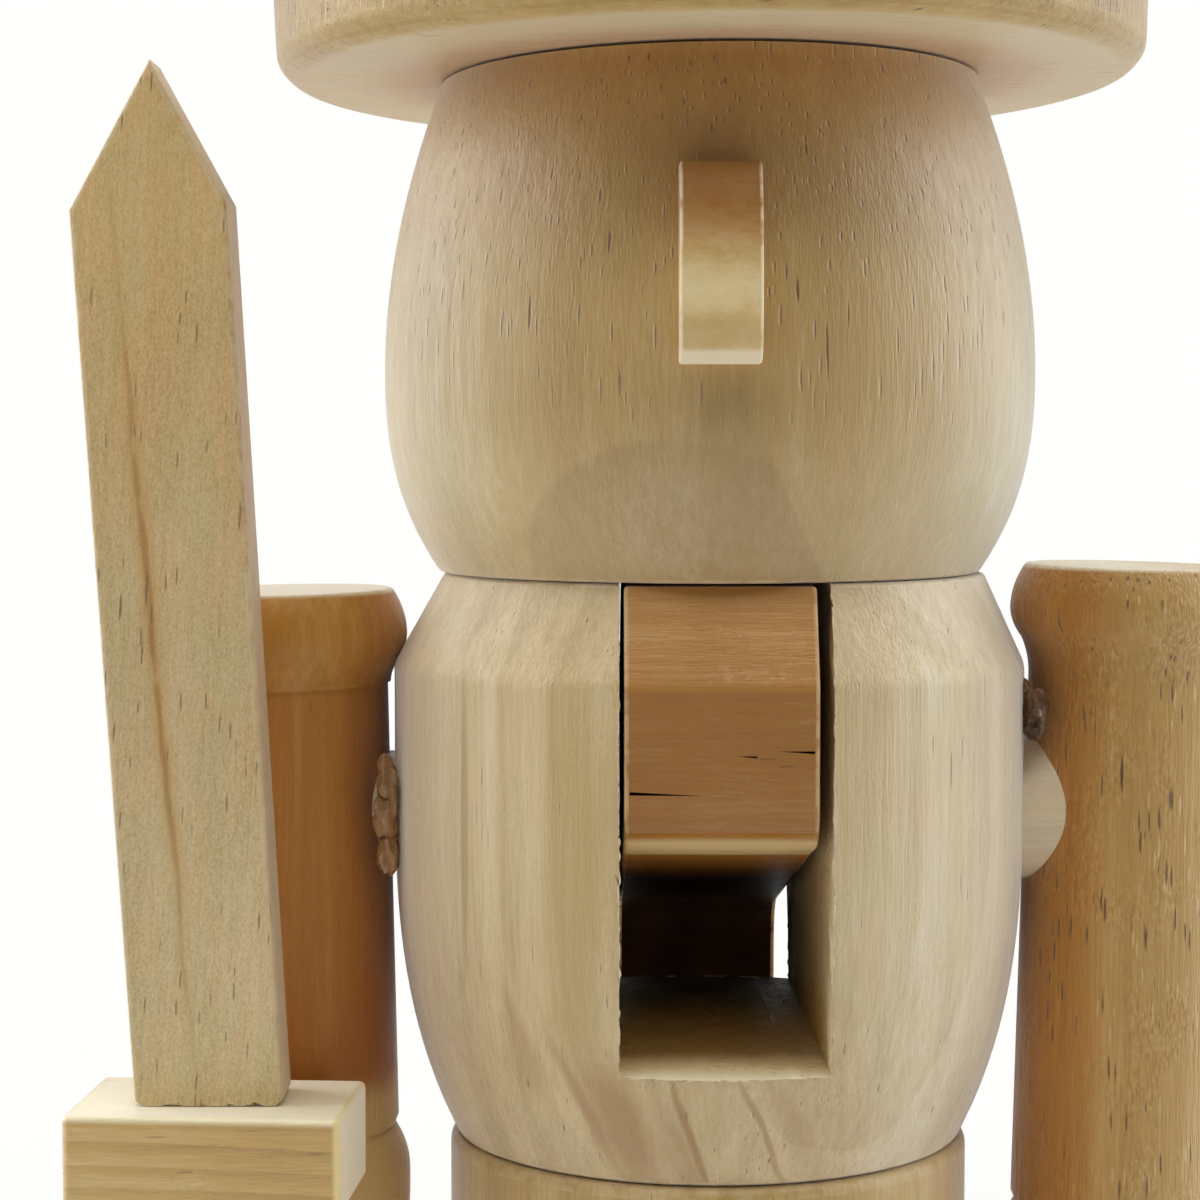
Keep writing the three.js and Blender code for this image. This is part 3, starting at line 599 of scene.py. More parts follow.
# judged along the turned outline, whatever the width of the facets round it
def narrowBends(shape):
    found = []
    for face in shape.faces:
        bends = [edge.calc_face_angle_signed(0) for edge in face.edges if len(edge.link_faces) == 2]
        outline = [Vector((math.hypot(v.co.x, v.co.y), v.co.z)) for v in face.verts]
        narrow = max((point - outline[0]).length for point in outline) < edgeWidth
        if narrow and max(bends, default=0) > edgeBend:
            found.append(face)
    return found


def addObject(name, data):
    added = bpy.data.objects.new(name, data)
    scene.collection.objects.link(added)
    return added


def meshObject(name, shape, materials):
    mesh = bpy.data.meshes.new(name)
    shape.to_mesh(mesh)
    shape.free()
    for material in materials:
        mesh.materials.append(material)
    return addObject(name, mesh)


def finish(name, shape, nodes, materials, body="figure", flats=True):
    bmesh.ops.remove_doubles(shape, verts=shape.verts, dist=mergeReach)
    faceOutwards(shape)
    bmesh.ops.scale(shape, vec=(mm, mm, mm), verts=shape.verts)
    for face in shape.faces:
        face.smooth = True
    for edge in shape.edges:
        edge.smooth = not (len(edge.link_faces) == 2 and edge.calc_face_angle(0) > sharpAngle)
    piece = meshObject(name, shape, materials)
    if flats:
        weighted = piece.modifiers.new("flatShading", "WEIGHTED_NORMAL")
        weighted.keep_sharp = True
    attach(piece, body)
    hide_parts(*nodes)


def swell(narrow, wide, power, steps=20):
    points = []
    for step in range(steps + 1):
        share = 1 - step / steps
        radius = wide[0] - (wide[0] - narrow[0]) * share ** power
        points.append((radius, wide[1] + (narrow[1] - wide[1]) * share))
    return points


# a curve from start to end that is drawn towards bend
def curve(start, bend, end, steps=8):
    start, bend, end = Vector(start), Vector(bend), Vector(end)
    points = []
    for step in range(steps + 1):
        share = step / steps
        points.append(tuple(start.lerp(bend, share).lerp(bend.lerp(end, share), share)))
    return points


# eases a corner of an outline; reach is how far the curve starts from the corner
def eased(before, corner, after, reach, steps=4):
    before, corner, after = Vector(before), Vector(corner), Vector(after)
    start = corner + (before - corner).normalized() * reach
    end = corner + (after - corner).normalized() * reach
    return curve(start, corner, end, steps)


def easedOutline(corners, reach, steps=4):
    points = [corners[0]]
    for before, corner, after in zip(corners, corners[1:], corners[2:]):
        points += eased(before, corner, after, reach, steps)
    return points + [corners[-1]]


# turns an outline of (radius, height) round the Z axis
def turnedShape(outline, steps):
    shape = newShape()
    verts = [shape.verts.new((radius, 0, height)) for radius, height in outline]
    edges = [shape.edges.new(pair) for pair in zip(verts, verts[1:])]
    bmesh.ops.spin(
        shape, geom=verts + edges, cent=(0, 0, 0), axis=(0, 0, 1),
        angle=2 * math.pi, steps=steps, use_merge=True,
    )
    bmesh.ops.remove_doubles(shape, verts=shape.verts, dist=mergeReach / 2)
    faceOutwards(shape)
    wearFaces(shape, narrowBends(shape))
    return shape


def turnedBlock(radius, height, edge, turns, steps=4):
    corners = [(0, 0), (radius, 0), (radius, height), (0, height)]
    return turnedShape(easedOutline(corners, edge, steps), turns)


def move(shape, x=0, y=0, z=0):
    bmesh.ops.translate(shape, vec=(x, y, z), verts=shape.verts)


def tilt(shape, degrees, axis="Y"):
    turn = Matrix.Rotation(math.radians(degrees), 3, axis)
    bmesh.ops.rotate(shape, cent=(0, 0, 0), matrix=turn, verts=shape.verts)


def only(kind, geometry):
    return [item for item in geometry if isinstance(item, kind)]


# cuts through a shape, or through some of its geometry; gives the edges of the cut
def sliceShape(shape, place, normal, geometry=None, **cleared):
    geometry = geometry or shape.verts[:] + shape.edges[:] + shape.faces[:]
    sawn = bmesh.ops.bisect_plane(
        shape, geom=geometry, dist=cutReach, plane_co=place, plane_no=normal, **cleared,
    )
    return only(bmesh.types.BMEdge, sawn["geom_cut"])


# cuts a shape off flat and closes it; gives the edges round the cut
def sawFlat(shape, place, normal, **cleared):
    rim = sliceShape(shape, place, normal, **cleared)
    bmesh.ops.edgenet_fill(shape, edges=rim)
    return rim


# raises a face by a step; gives the new face
def raiseFace(shape, face, step):
    grown = bmesh.ops.extrude_face_region(shape, geom=[face])["geom"]
    bmesh.ops.translate(shape, vec=step, verts=only(bmesh.types.BMVert, grown))
    faceOutwards(shape)
    return only(bmesh.types.BMFace, grown)[0]


# a flat outline made into a slab; gives the shape and the face that was raised
def slab(points, step):
    shape = newShape()
    face = shape.faces.new([shape.verts.new(point) for point in points])
    return shape, raiseFace(shape, face, step)


# a flat outline drawn in (y, z), made into a block across X
def sideBlock(outline, width):
    return slab([(-width / 2, y, z) for y, z in outline], (width, 0, 0))[0]


def bevelEdges(shape, edges, offset, segments=3):
    made = bmesh.ops.bevel(
        shape, geom=edges, offset=offset, offset_type="OFFSET", affect="EDGES",
        segments=segments, profile=0.5, material=-1, clamp_overlap=True,
    )
    if offset < edgeWidth:
        wearFaces(shape, made["faces"])
    return made["faces"]


def sharpEdges(shape, degrees):
    limit = math.radians(degrees)
    return [e for e in shape.edges if len(e.link_faces) == 2 and e.calc_face_angle(0) > limit]


def levelEdges(shape, axis, near=0.01):
    return [e for e in shape.edges if abs(e.verts[0].co[axis] - e.verts[1].co[axis]) < near]


# small unevenness of a hand-finished surface
def roughen(shape, verts, amount, size):
    shape.normal_update()
    moves = [(vert, vert.normal * amount * noise.noise(vert.co / size)) for vert in verts]
    for vert, step in moves:
        vert.co += step


# torso

torso = SimpleNamespace(
    foot=24.7, straight=34.8, round=2.9, neck=26.3, shoulder=8.8, neckShift=0.5,
    slotWidth=19.1, slotOffset=0.6, slotDepth=44.8, slotFall=1.2, slotTaper=0.007,
    edge=0.4, mouthCuts=4, fray=0.32, fraySize=0.9, turns=160,
)


def torsoBarrel():
    radius = span("torso").x / 2
    height = span("torso").z
    rise = height - torso.shoulder
    side = swell((torso.foot, 0), (radius, torso.straight), torso.round)
    outline = [(0, 0)] + eased((0, 0), side[0], side[1], 0.5) + side[2:]
    outline += [(radius, (torso.straight + rise) / 2)]
    outline += eased((radius, torso.straight), (radius, rise), (torso.neck, height), 0.7)
    outline += eased((radius, rise), (torso.neck, height), (0, height), 0.4)
    outline += [(0, height)]
    shape = turnedShape(outline, torso.turns)
    for vert in shape.verts:
        vert.co.x += torso.neckShift * max(0, vert.co.z - rise) / torso.shoulder
    left = torso.slotOffset - torso.slotWidth / 2
    right = torso.slotOffset + torso.slotWidth / 2
    fall = math.tan(math.radians(torso.slotFall))
    floor = height - torso.slotDepth
    sliceShape(shape, (left, 0, 0), (1, 0, 0))
    sliceShape(shape, (right, -radius, 0), (1, torso.slotTaper, 0))
    sliceShape(shape, (0, 0, floor), (0, fall, 1))

    def aboveFloor(point):
        return point.z + fall * point.y - floor

    def leftWall(point):
        return point.x - left

    def rightWall(point):
        return right - point.x - torso.slotTaper * (point.y + radius)

    inSlot = []
    for face in shape.faces:
        centre = face.calc_center_median()
        if min(leftWall(centre), rightWall(centre), aboveFloor(centre)) > 0:
            inSlot.append(face)
    bmesh.ops.delete(shape, geom=inSlot, context="FACES")
    near = 0.002
    rim = [e for e in shape.edges if e.is_boundary]
    floorEdges = [e for e in rim if all(abs(aboveFloor(v.co)) < near for v in e.verts)]
    walls = []
    for wall in (leftWall, rightWall):
        edges = [e for e in rim if all(abs(wall(v.co)) < near for v in e.verts)]
        ends = {v for e in edges for v in e.verts if abs(aboveFloor(v.co)) < near}
        front, back = sorted(ends, key=lambda v: v.co.y)
        sill = shape.edges.new((front, back))
        walls.append(edges + [sill])
        floorEdges.append(sill)
    for edges in walls + [floorEdges]:
        bmesh.ops.edgenet_fill(shape, edges=edges)
    faceOutwards(shape)
    slotFaces = set()
    for face in shape.faces:
        centre = face.calc_center_median()
        flat = len(face.verts) > 20 and max(abs(face.normal.x), abs(face.normal.z)) > 0.99
        between = left - near < centre.x < right + near
        if flat and between and aboveFloor(centre) > -near and centre.z < height - near:
            slotFaces.add(face)
    # the slot's faces take the lining, with its painted light and painted shade
    lineFaces(slotFaces)
    mouth = []
    for edge in shape.edges:
        inner = [f for f in edge.link_faces if f in slotFaces]
        if len(inner) == 1 and edge.calc_face_angle(0) > math.radians(30):
            mouth.append(edge)
    bmesh.ops.subdivide_edges(shape, edges=mouth, cuts=torso.mouthCuts)
    mouth = [e for e in shape.edges if len({f.material_index for f in e.link_faces}) == 2]
    frayed = bevelEdges(shape, mouth, torso.edge)
    roughen(shape, {v for f in frayed for v in f.verts}, torso.fray, torso.fraySize)
    move(shape, z=low("torso").z)
    finish("torsoBarrel", shape, ["torso"], [torsoWood, slotWood])


torsoBarrel()


# hips

hips = SimpleNamespace(edge=1.2, swell=0.2, turns=128)


def hipsBlock():
    radius = span("hips").x / 2 + hips.swell
    shape = turnedBlock(radius, span("hips").z, hips.edge, hips.turns, 6)
    move(shape, z=low("hips").z)
    finish("hipsBlock", shape, ["hips"], [bodyWood])


hipsBlock()


# legs, toes and base

leg = SimpleNamespace(
    boot=11.2, toe=4.5, ankle=10.2, ankleHeight=14, bootHeight=34, cuff=11.9,
    cuffHeight=5, cuffTurn=60, knee=10.2, trouser=10.9, turns=96,
)


def legTurning(name, node):
    height = span(node).z
    bead = leg.cuffHeight / 2
    cuffMiddle = leg.bootHeight + bead
    outline = [(0, 0)]
    outline += eased((0, 0), (leg.boot, 0), (leg.boot, leg.toe), 0.5)
    outline += swell((leg.boot, leg.toe), (leg.ankle, leg.ankleHeight), 2)
    outline += [((leg.ankle + leg.cuff) / 2, leg.bootHeight)]
    for degrees in range(-leg.cuffTurn, leg.cuffTurn + 1, 10):
        turn = math.radians(degrees)
        outline.append((leg.cuff - bead + bead * math.cos(turn), cuffMiddle + bead * math.sin(turn)))
    outline += [(leg.knee, leg.bootHeight + leg.cuffHeight)]
    outline += eased((leg.knee, height / 2), (leg.trouser, height), (0, height), 0.5)
    outline += [(0, height)]
    shape = turnedShape(outline, leg.turns)
    place = middle(node)
    move(shape, place.x, place.y, low(node).z)
    finish(name, shape, [node], [bodyWood])


legTurning("legLeft", "leg_left")
legTurning("legRight", "leg_right")

toe = SimpleNamespace(edge=2.5, sink=1.2)  # sink: how far the block reaches into the boot's outline


def toeBlock(name, node):
    size = span(node)
    half = size.x / 2
    heel = toe.sink - leg.boot
    tip = low(node).y + half
    corners = [(half, heel), (half, tip)]
    for degrees in range(-6, -180, -6):
        turn = math.radians(degrees)
        corners.append((half * math.cos(turn), tip + half * math.sin(turn)))
    corners += [(-half, tip), (-half, heel)]
    shape, top = slab([(x, y, 0) for x, y in corners], (0, 0, size.z))
    rim = [e for e in top.edges if min(v.co.y for v in e.verts) < heel - 0.1]
    bevelEdges(shape, rim, toe.edge, 5)
    move(shape, middle(node).x, 0, low(node).z)
    finish(name, shape, [node], [bodyWood])


toeBlock("toeLeft", "toe_left")
toeBlock("toeRight", "toe_right")

base = SimpleNamespace(corner=7, edge=2)


def boxShape(size, corner, edge):
    shape = newShape()
    bmesh.ops.create_cube(shape, size=1)
    bmesh.ops.scale(shape, vec=size, verts=shape.verts)
    upright = [e for e in shape.edges if abs(e.verts[0].co.z - e.verts[1].co.z) > 1]
    bevelEdges(shape, upright, corner, 8)
    bevelEdges(shape, sharpEdges(shape, 60), edge, 4)
    return shape


def baseBlock():
    shape = boxShape(span("base"), base.corner, base.edge)
    move(shape, *middle("base"))
    finish("baseBlock", shape, ["base"], [bodyWood])


baseBlock()
print("torso, hips, legs and base made")


# jaw lever, in side view: depth y, height z from the torso's top

lever = SimpleNamespace(
    neck=26.3, inset=1.0, shoulder=8.8, slotDepth=44.4, chinRoom=22, chinRound=5,
    heelRoom=7, handleGap=6, handleThickness=11, handleShoulder=16, handleFlare=4,
    opening=35, edge=0.4, leftTaper=0.002, tipSteps=12, rollSteps=8,
)


# cracks in the chin's face, from open end to tip: across x, height z from the torso's top, and width
cracks = (
    ((-8.2, -18.3), (-1.6, -18.5), 0.3), ((8.2, -14.65), (5.0, -14.55), 0.26),
    ((3.1, -15.05), (1.3, -15.0), 0.2),
)
crackDepth = 0.9


# cuts a groove into the face that holds start and end, open at the start and pointed at the end
def crackGroove(shape, start, end, width):
    along = (end - start).normalized()
    side = along.cross(Vector((0, 1, 0)))

    def frontFaces():
        front = [f for f in shape.faces if f.normal.y < -0.99]
        return [f for f in front if abs(f.calc_center_median().y - start.y) < 0.001]

    for place, normal in (
        (start + side * width / 2, side), (start - side * width / 2, side), (start, along), (end, along),
    ):
        flat = frontFaces()
        geometry = set(flat) | {e for f in flat for e in f.edges} | {v for f in flat for v in f.verts}
        sliceShape(shape, place, normal, list(geometry))
        shape.normal_update()
    halfway = (start + end) / 2
    slit = min(frontFaces(), key=lambda f: (f.calc_center_median() - halfway).length)
    tip = [v for v in slit.verts if (v.co - end).length < width]
    bmesh.ops.pointmerge(shape, verts=tip, merge_co=end)
    floor = bmesh.ops.extrude_face_region(shape, geom=[slit])["geom"]
    bmesh.ops.delete(shape, geom=[slit], context="FACES_ONLY")
    deep = only(bmesh.types.BMVert, floor)
    for vert in deep:
        share = (vert.co - start).dot(along)
        onLine = start + along * share
        reach = 1 - min(1, share / (end - start).length)
        vert.co = onLine.lerp(vert.co, 0.4) + Vector((0, crackDepth * (0.25 + 0.75 * reach), 0))
    # the groove's faces take the near-black material, as painted shade inside the crack
    lineFaces({f for v in deep for f in v.link_faces}, 2)


def jawLever():
    radius = span("torso").x / 2
    topZ = high("torso").z
    top = high("jaw_lever").z - topZ
    joint = frame["joints"][0]["pos_m"]
    pinY = joint[1] / mm
    pinZ = joint[2] / mm - topZ
    roll = top - pinZ
    opening = math.radians(lever.opening)
    face = lever.inset - radius
    bend = lever.chinRound
    chinFoot = lever.chinRoom - lever.slotDepth
    heel = lever.heelRoom - lever.slotDepth
    handleIn = radius + lever.handleGap
    handleOut = handleIn + lever.handleThickness
    end = lever.handleThickness / 2
    tipY = handleIn + lever.handleFlare + end
    tipZ = low("jaw_lever").z - topZ + end
    shoulder = lever.handleShoulder

    def backTop(depth):
        return pinZ + (roll - (depth - pinY) * math.sin(opening)) / math.cos(opening)

    chinTop = (lever.inset - lever.neck, top)
    outline = [chinTop]
    outline += eased(chinTop, (face, -lever.shoulder), (face, chinFoot), 0.5)
    underChin = (face + bend, chinFoot - bend / 3)
    outline += curve((face, chinFoot + bend / 2), (face, chinFoot - bend / 4), underChin, 10)
    gap = lever.handleGap
    outline += curve((radius, heel), (handleIn, heel - gap / 4), (handleIn, heel - gap))
    for step in range(lever.tipSteps + 1):
        turn = math.pi + math.pi * step / lever.tipSteps
        outline.append((tipY + end * math.cos(turn), tipZ + end * math.sin(turn)))
    outline += curve(
        (handleOut, backTop(handleOut) - shoulder), (handleOut, backTop(handleOut)),
        (handleOut - shoulder, backTop(handleOut - shoulder)), 12,
    )
    for step in range(lever.rollSteps + 1):
        turn = math.pi / 2 - opening * (1 - step / lever.rollSteps)
        outline.append((pinY + roll * math.cos(turn), pinZ + roll * math.sin(turn)))
    shape = sideBlock(outline, span("jaw_lever").x)
    bevelEdges(shape, levelEdges(shape, 0), lever.edge)
    for vert in shape.verts:
        if vert.co.x < 0:
            vert.co.x -= lever.leftTaper * (vert.co.y - face)
    shape.normal_update()
    # faces under the lever and behind its face take the lining, with its painted shade
    for side in shape.faces:
        centre = side.calc_center_median()
        facing = side.normal.z < -0.2 or side.normal.y < -0.05
        if facing and centre.y > face + 0.5 and centre.z < pinZ:
            lineFaces([side])
    for start, end, width in cracks:
        crackGroove(shape, Vector((start[0], face, start[1])), Vector((end[0], face, end[1])), width)
    move(shape, middle("jaw_lever").x, 0, topZ)
    finish("jawLever", shape, ["jaw_lever"], [jawWood, jawLining, crackShade], "jaw")


jawLever()


# head and nose

head = SimpleNamespace(
    height=47.2, foot=26.3, top=25.9, belly=19.5, lowerRound=2.5, upperRound=1.9,
    tilt=1.85, roll=0.6, spare=2, edge=0.3, turns=160,
)


def headBarrel():
    radius = span("head").x / 2
    height = head.height
    lower = swell((head.foot, 0), (radius, head.belly), head.lowerRound, 28)
    upper = swell((head.top, height), (radius, head.belly), head.upperRound, 36)[::-1]
    outline = [(0, 0)] + eased((0, 0), lower[0], lower[1], 0.4) + lower[1:] + upper[1:]
    outline += [(head.top, height + head.spare)]
    shape = turnedShape(outline, head.turns)
    lean = math.tan(math.radians(head.tilt))
    sideways = math.tan(math.radians(head.roll))
    sawFlat(shape, (0, 0, height), (-sideways, lean, 1), clear_outer=True)
    faceOutwards(shape)
    bevelEdges(shape, sharpEdges(shape, 50), head.edge)
    move(shape, z=low("head").z)
    finish("headBarrel", shape, ["head"], [headWood])


headBarrel()

nose = SimpleNamespace(brow=3.4, lip=1.1, foot=2.2, lipHeight=1.1, edge=0.3, steps=24)


def noseBlock():
    size = span("nose")
    front = low("nose").y
    back = high("nose").y
    start = Vector((front + nose.brow, size.z))
    end = Vector((front + nose.lip, nose.lipHeight))
    pullUp, pullDown = Vector((front, size.z * 3 / 4)), Vector((front, size.z / 4))
    outline = [(back, 0), (back, size.z)]
    for step in range(nose.steps + 1):
        share = step / nose.steps
        first, second = start.lerp(pullUp, share), pullUp.lerp(pullDown, share)
        third = pullDown.lerp(end, share)
        outline.append(tuple(first.lerp(second, share).lerp(second.lerp(third, share), share)))
    outline.append((front + nose.foot, 0))
    shape = sideBlock(outline, size.x)
    bevelEdges(shape, levelEdges(shape, 0), nose.edge)
    move(shape, middle("nose").x, 0, low("nose").z)
    finish("noseBlock", shape, ["nose"], [noseWood])


noseBlock()
print("lever, head and nose made")


# hat, which leans back with the cut of the head's top

hat = SimpleNamespace(
    seat=0.3, brim=41.8, brimFlare=0.6, thickness=16, brimChamfer=1.6, brimEdge=0.9,
    upperEdge=2.4, crown=31, crownFlare=3, crownHeight=52.8, crownEdge=5, crownDome=1.5,
    turns=176,
)


def setHat(shape, height):
    move(shape, z=height)
    tilt(shape, -head.roll)
    tilt(shape, -head.tilt, "X")
    move(shape, z=low("head").z + head.height)


def hatBrim():
    radius, height, cut = hat.brim, hat.thickness, hat.brimChamfer
    wide = radius + hat.brimFlare
    corners = [(0, 0), (radius - cut, 0), (radius, cut), (wide, height), (0, height)]
    outline = easedOutline(corners[:4], hat.brimEdge)[:-1]
    outline += eased(corners[2], corners[3], corners[4], hat.upperEdge, 8) + [corners[4]]
    shape = turnedShape(outline, hat.turns)
    setHat(shape, hat.seat)
    finish("hatBrim", shape, ["hat_brim"], [hatWood])


def hatCrown():
    foot, radius, height = hat.crown, hat.crown + hat.crownFlare, hat.crownHeight
    rim = height - hat.crownDome
    outline = [(0, 0)]
    outline += eased((0, 0), (foot, 0), (radius, rim), 0.4)
    outline += eased((foot, 0), (radius, rim), (0, height), hat.crownEdge, 8)
    outline += [(radius * share, height - hat.crownDome * share ** 2) for share in (0.6, 0.4, 0.2, 0)]
    shape = turnedShape(outline, hat.turns)
    setHat(shape, hat.thickness + 2 * hat.seat)
    finish("hatCrown", shape, ["hat_crown"], [hatWood])


hatBrim()
hatCrown()


# arms, pegs and glue

arm = SimpleNamespace(
    pegDrop=23, sleeve=10.5, cap=12.5, capTop=11.1, capCrown=4.4, capHeight=9.2,
    capFoot=1.8, wrist=10.1, wristChamfer=0.9, hand=11.5, handTip=7.5,
    handLength=22, handDrop=4.4, handRound=2.2, turns=120,
)
armSides = {
    "armLeft": SimpleNamespace(
        node="arm_left", sign=1, length=63.5, drop=-0.6, gap=0.5, lean=1.5, ledge=0,
    ),
    "armRight": SimpleNamespace(
        node="arm_right", sign=-1, length=53.2, drop=1.8, gap=0.45, lean=1.2, ledge=0.3,
    ),
}


def armTurning(name, side):
    wrist = arm.pegDrop - side.length
    capRing = (arm.cap, arm.pegDrop - arm.capCrown)
    capFoot = (arm.sleeve + side.ledge, arm.pegDrop - arm.capHeight)
    flare = (capFoot[0] + (arm.cap - capFoot[0]) * 0.4, capFoot[1] + arm.capFoot)
    handTip = (arm.handTip, wrist - arm.handLength)
    handRing = (arm.hand, wrist - arm.handDrop)
    palm = swell(handTip, handRing, arm.handRound)
    crown = swell((arm.capTop, arm.pegDrop), capRing, 2, 10)[::-1]
    outline = [(0, handTip[1])] + eased((0, handTip[1]), palm[0], palm[1], 0.5) + palm[1:]
    outline += swell((arm.wrist, wrist), handRing, 2, 10)[::-1][1:]
    outline += [(arm.sleeve, wrist + arm.wristChamfer)]
    if side.ledge:
        outline += [(arm.sleeve, capFoot[1])]
        outline += curve(capFoot, (capFoot[0], capFoot[1] + arm.capFoot / 2), flare, 6)
    else:
        below = (arm.sleeve, capFoot[1] - arm.capFoot)
        outline += curve(below, capFoot, flare)
    outline += curve(flare, (arm.cap, (flare[1] + capRing[1]) / 2), capRing)[1:]
    outline += crown[1:-1] + eased(crown[-2], crown[-1], (0, arm.pegDrop), 0.4)
    outline += [(0, arm.pegDrop)]
    shape = turnedShape(outline, arm.turns)
    tilt(shape, side.sign * side.lean)
    across = span("torso").x / 2 + side.gap + arm.sleeve
    move(shape, side.sign * across, 0, high("torso").z - arm.pegDrop - side.drop)
    finish(name, shape, [side.node], [armWoods[side.node]])


for name, side in armSides.items():
    armTurning(name, side)

peg = SimpleNamespace(edge=0.6, turns=64)


def shoulderPeg(name, node, radius):
    shape = turnedBlock(radius, span(node).x, peg.edge, peg.turns)
    tilt(shape, 90)
    place = middle(node)
    move(shape, low(node).x, place.y, place.z)
    finish(name, shape, [node], [dowelWood])


shoulderPeg("pegLeft", "shoulder_peg_left", 7.25)
shoulderPeg("pegRight", "shoulder_peg_right", 5.3)


# lumps in each crevice: place and half size
glueLumps = {
    "glueLeft": (((31.0, -6.6, 176.2), (1.5, 2.6, 2.9)), ((30.9, -7.4, 174.1), (0.9, 1.5, 1.1))),
    "glueRight": (
        ((-31.1, -7.4, 169.6), (1.2, 2.2, 2.3)), ((-31.3, -7.6, 165.9), (1.4, 2.2, 2.5)),
        ((-31.0, -7.2, 162.2), (1.2, 2.1, 2.2)), ((-30.6, -8.3, 167.9), (0.6, 1.0, 2.6)),
    ),
}


def glueLump(name, node, material):
    shape = newShape()
    for place, size in glueLumps[name]:
        made = bmesh.ops.create_icosphere(shape, subdivisions=4, radius=1)["verts"]
        for vert in made:
            bulge = 0.9 + 0.4 * noise.noise(vert.co * 1.5 + Vector(place))
            vert.co = vert.co * bulge
        bmesh.ops.scale(shape, vec=size, verts=made)
        bmesh.ops.translate(shape, vec=place, verts=made)
    finish(name, shape, [node], [material], flats=False)


glueLump("glueLeft", "shoulder_glue_left", clearGlue)
glueLump("glueRight", "shoulder_glue_right", cloudyGlue)
print("hat, arms and glue made")


# sword

sword = SimpleNamespace(
    foot=13.5, shoulder=14.2, length=94, point=13, pointOffset=1, thickness=7.5,
    edge=0.5, lean=3.4, seat=0.3, setback=4.6, spare=1.5, cut=0.06, chip=0.55,
    corner=1.2, guardCorner=0.7, guardEdge=0.5, guardTurn=4, guardSpare=0.8,
    chipCuts=40, grip=5.5, gripRound=3, gripTurns=64,
)


# saws the blade's foot level with the guard and chips its edge
def chipFoot(shape, height):
    rim = sawFlat(shape, (0, 0, height), (0, 0, 1), clear_inner=True)
    bmesh.ops.subdivide_edges(shape, edges=[e for e in rim if e.calc_length() > 2], cuts=sword.chipCuts)
    edge = [v for v in shape.verts if abs(v.co.z - height) < 0.001]
    start, end = min(v.co.x for v in edge), max(v.co.x for v in edge)
    for vert in edge:
        room = min(vert.co.x - start, end - vert.co.x)
        rounded = sword.chip * max(0, 1 - room / sword.corner) ** 2
        chipped = sword.chip * max(0, noise.noise(vert.co * 0.9) + 0.3 * noise.noise(vert.co * 3.1))
        vert.co.z += max(rounded, chipped)


def swordBlade():
    half, wide, rise = sword.foot / 2, sword.shoulder / 2, sword.length - sword.point
    foot = -sword.spare
    point = (sword.pointOffset, sword.length)
    corners = [(-half, foot), (half, foot), (wide, rise), point, (-wide, rise)]
    thick = sword.thickness
    shape = slab([(x, -thick / 2, z) for x, z in corners], (0, thick, 0))[0]
    bevelEdges(shape, levelEdges(shape, 1), sword.edge, 2)
    tilt(shape, -sword.lean)
    lift = sword.seat + half * math.sin(math.radians(sword.lean))
    faceY = low("sword_guard").y + sword.setback + thick / 2
    move(shape, middle("sword_guard").x, faceY, high("sword_guard").z + lift)
    chipFoot(shape, high("sword_guard").z + sword.cut)
    finish("swordBlade", shape, ["sword_blade"], [bladeWood])


def swordGuard():
    size = span("sword_guard") + Vector((sword.guardSpare, 0, 0))
    shape = boxShape(size, sword.guardCorner, sword.guardEdge)
    tilt(shape, -sword.guardTurn, "Z")
    move(shape, *(middle("sword_guard") + Vector((sword.guardSpare / 2, 0, 0))))
    finish("swordGuard", shape, ["sword_guard"], [guardWood])


def swordGrip():
    length = span("sword_grip").z
    radius = sword.grip
    outline = [(0, 0)] + eased((0, 0), (radius, 0), (radius, length), sword.gripRound, 8)
    outline += [(radius, length), (0, length)]
    shape = turnedShape(outline, sword.gripTurns)
    place = middle("sword_grip")
    move(shape, place.x, place.y, low("sword_grip").z)
    finish("swordGrip", shape, ["sword_grip"], [guardWood])


swordBlade()
swordGuard()
swordGrip()
print("sword made")


# dowels inside keep their own solids

for piece in frame["nodes"].values():
    if not piece.hide_render:
        piece.data.materials.clear()
        piece.data.materials.append(dowelWood)


# floor, light and camera

studio = SimpleNamespace(
    floorSize=6.0, fadeFrom=0.28, fadeTo=0.6, floorTone=(0.88, 0.87, 0.85),
    white=(1.0, 1.0, 0.985), backdrop=(-0.35, 0.25), ambient=(0.07, 0.068, 0.062),
)


# where the backdrop shows white: to the camera everywhere, in reflections only behind the figure
def pureWhite(paint):
    rays = paint.node("ShaderNodeLightPath").outputs
    behind = paint.stretch(paint.axis("Y"), *studio.backdrop)
    mirrored = paint.times(rays["Is Glossy Ray"], behind)
    return paint.sums("MAXIMUM", rays["Is Camera Ray"], mirrored, rays["Is Transmission Ray"])


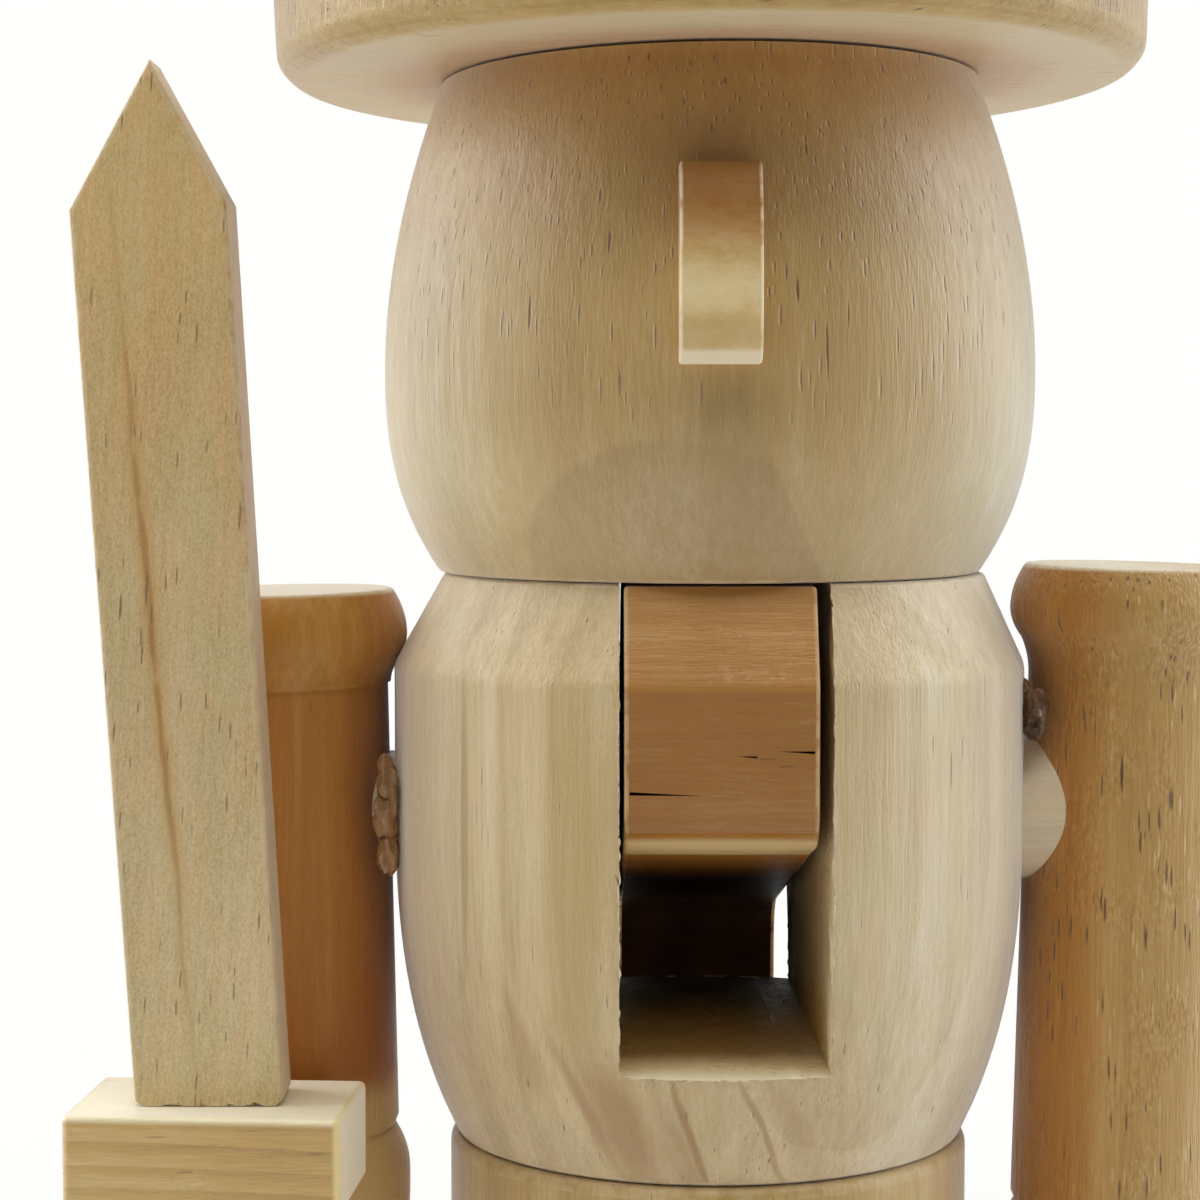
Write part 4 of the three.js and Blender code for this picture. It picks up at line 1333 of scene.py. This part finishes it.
def floorMaterial():
    material, paint, shader = newMaterial("paleFloor")
    paint.feed(shader, Base_Color=colour(studio.floorTone), Roughness=0.9, Specular_IOR_Level=0.1)
    fade = paint.stretch(paint.distance(paint.place), studio.fadeFrom, studio.fadeTo)
    glow = paint.filled("ShaderNodeEmission", colour(studio.white))
    share = paint.times(fade, pureWhite(paint))
    both = paint.filled("ShaderNodeMixShader", share, shader.outputs[0], glow.outputs[0])
    paint.feed(paint.tree.nodes["Material Output"], Surface=both.outputs[0])
    return material


def paleFloor():
    shape = bmesh.new()
    bmesh.ops.create_grid(shape, x_segments=1, y_segments=1, size=studio.floorSize)
    floor = meshObject("paleFloor", shape, [floorMaterial()])


def whiteWorld():
    world = bpy.data.worlds.new("studioWhite")
    world.use_nodes = True
    scene.world = world
    paint = Paint(world.node_tree, "Generated")
    shade = paint.mix(pureWhite(paint), colour(studio.ambient), colour(studio.white))
    paint.feed(world.node_tree.nodes["Background"], Color=shade)


# place, size and power
lamps = {
    "topSoft": ((0, 0, 1.6), (1.6, 1.6), 8.5),
    "highFront": ((0, -0.62, 1.53), (1.4, 0.45), 8),
    "leftSoft": ((-0.9, 0.1, 0.55), (0.9, 0.9), 7.6),
    "rightSoft": ((0.9, 0.1, 0.55), (0.9, 0.9), 5.9),
    "backSoft": ((0, 0.75, 0.75), (0.8, 0.6), 2),
}
lampAim = Vector((0, 0, 0.19))


def softLamp(name, place, size, power):
    light = bpy.data.lights.new(name, "AREA")
    light.shape = "RECTANGLE"
    light.size, light.size_y = size
    light.energy = power
    lamp = addObject(name, light)
    lamp.location = place
    lamp.rotation_euler = (lampAim - Vector(place)).to_track_quat("-Z", "Y").to_euler()
    lamp.visible_camera = False


paleFloor()
whiteWorld()
for name, values in lamps.items():
    softLamp(name, *values)

shot = SimpleNamespace(place=(-10.65, -285, 202.45), pitch=-3.25, focal=2904, frame=1200, sensor=36)


def photoCamera():
    data = bpy.data.cameras.new("photoCamera")
    data.sensor_width = shot.sensor
    data.lens = shot.focal / shot.frame * shot.sensor
    data.clip_start = 0.01
    camera = addObject("photoCamera", data)
    camera.location = Vector(shot.place) * mm
    camera.rotation_euler = (math.radians(90 + shot.pitch), 0, 0)
    scene.camera = camera


photoCamera()
scene.view_settings.view_transform = "Standard"
print("studio set")
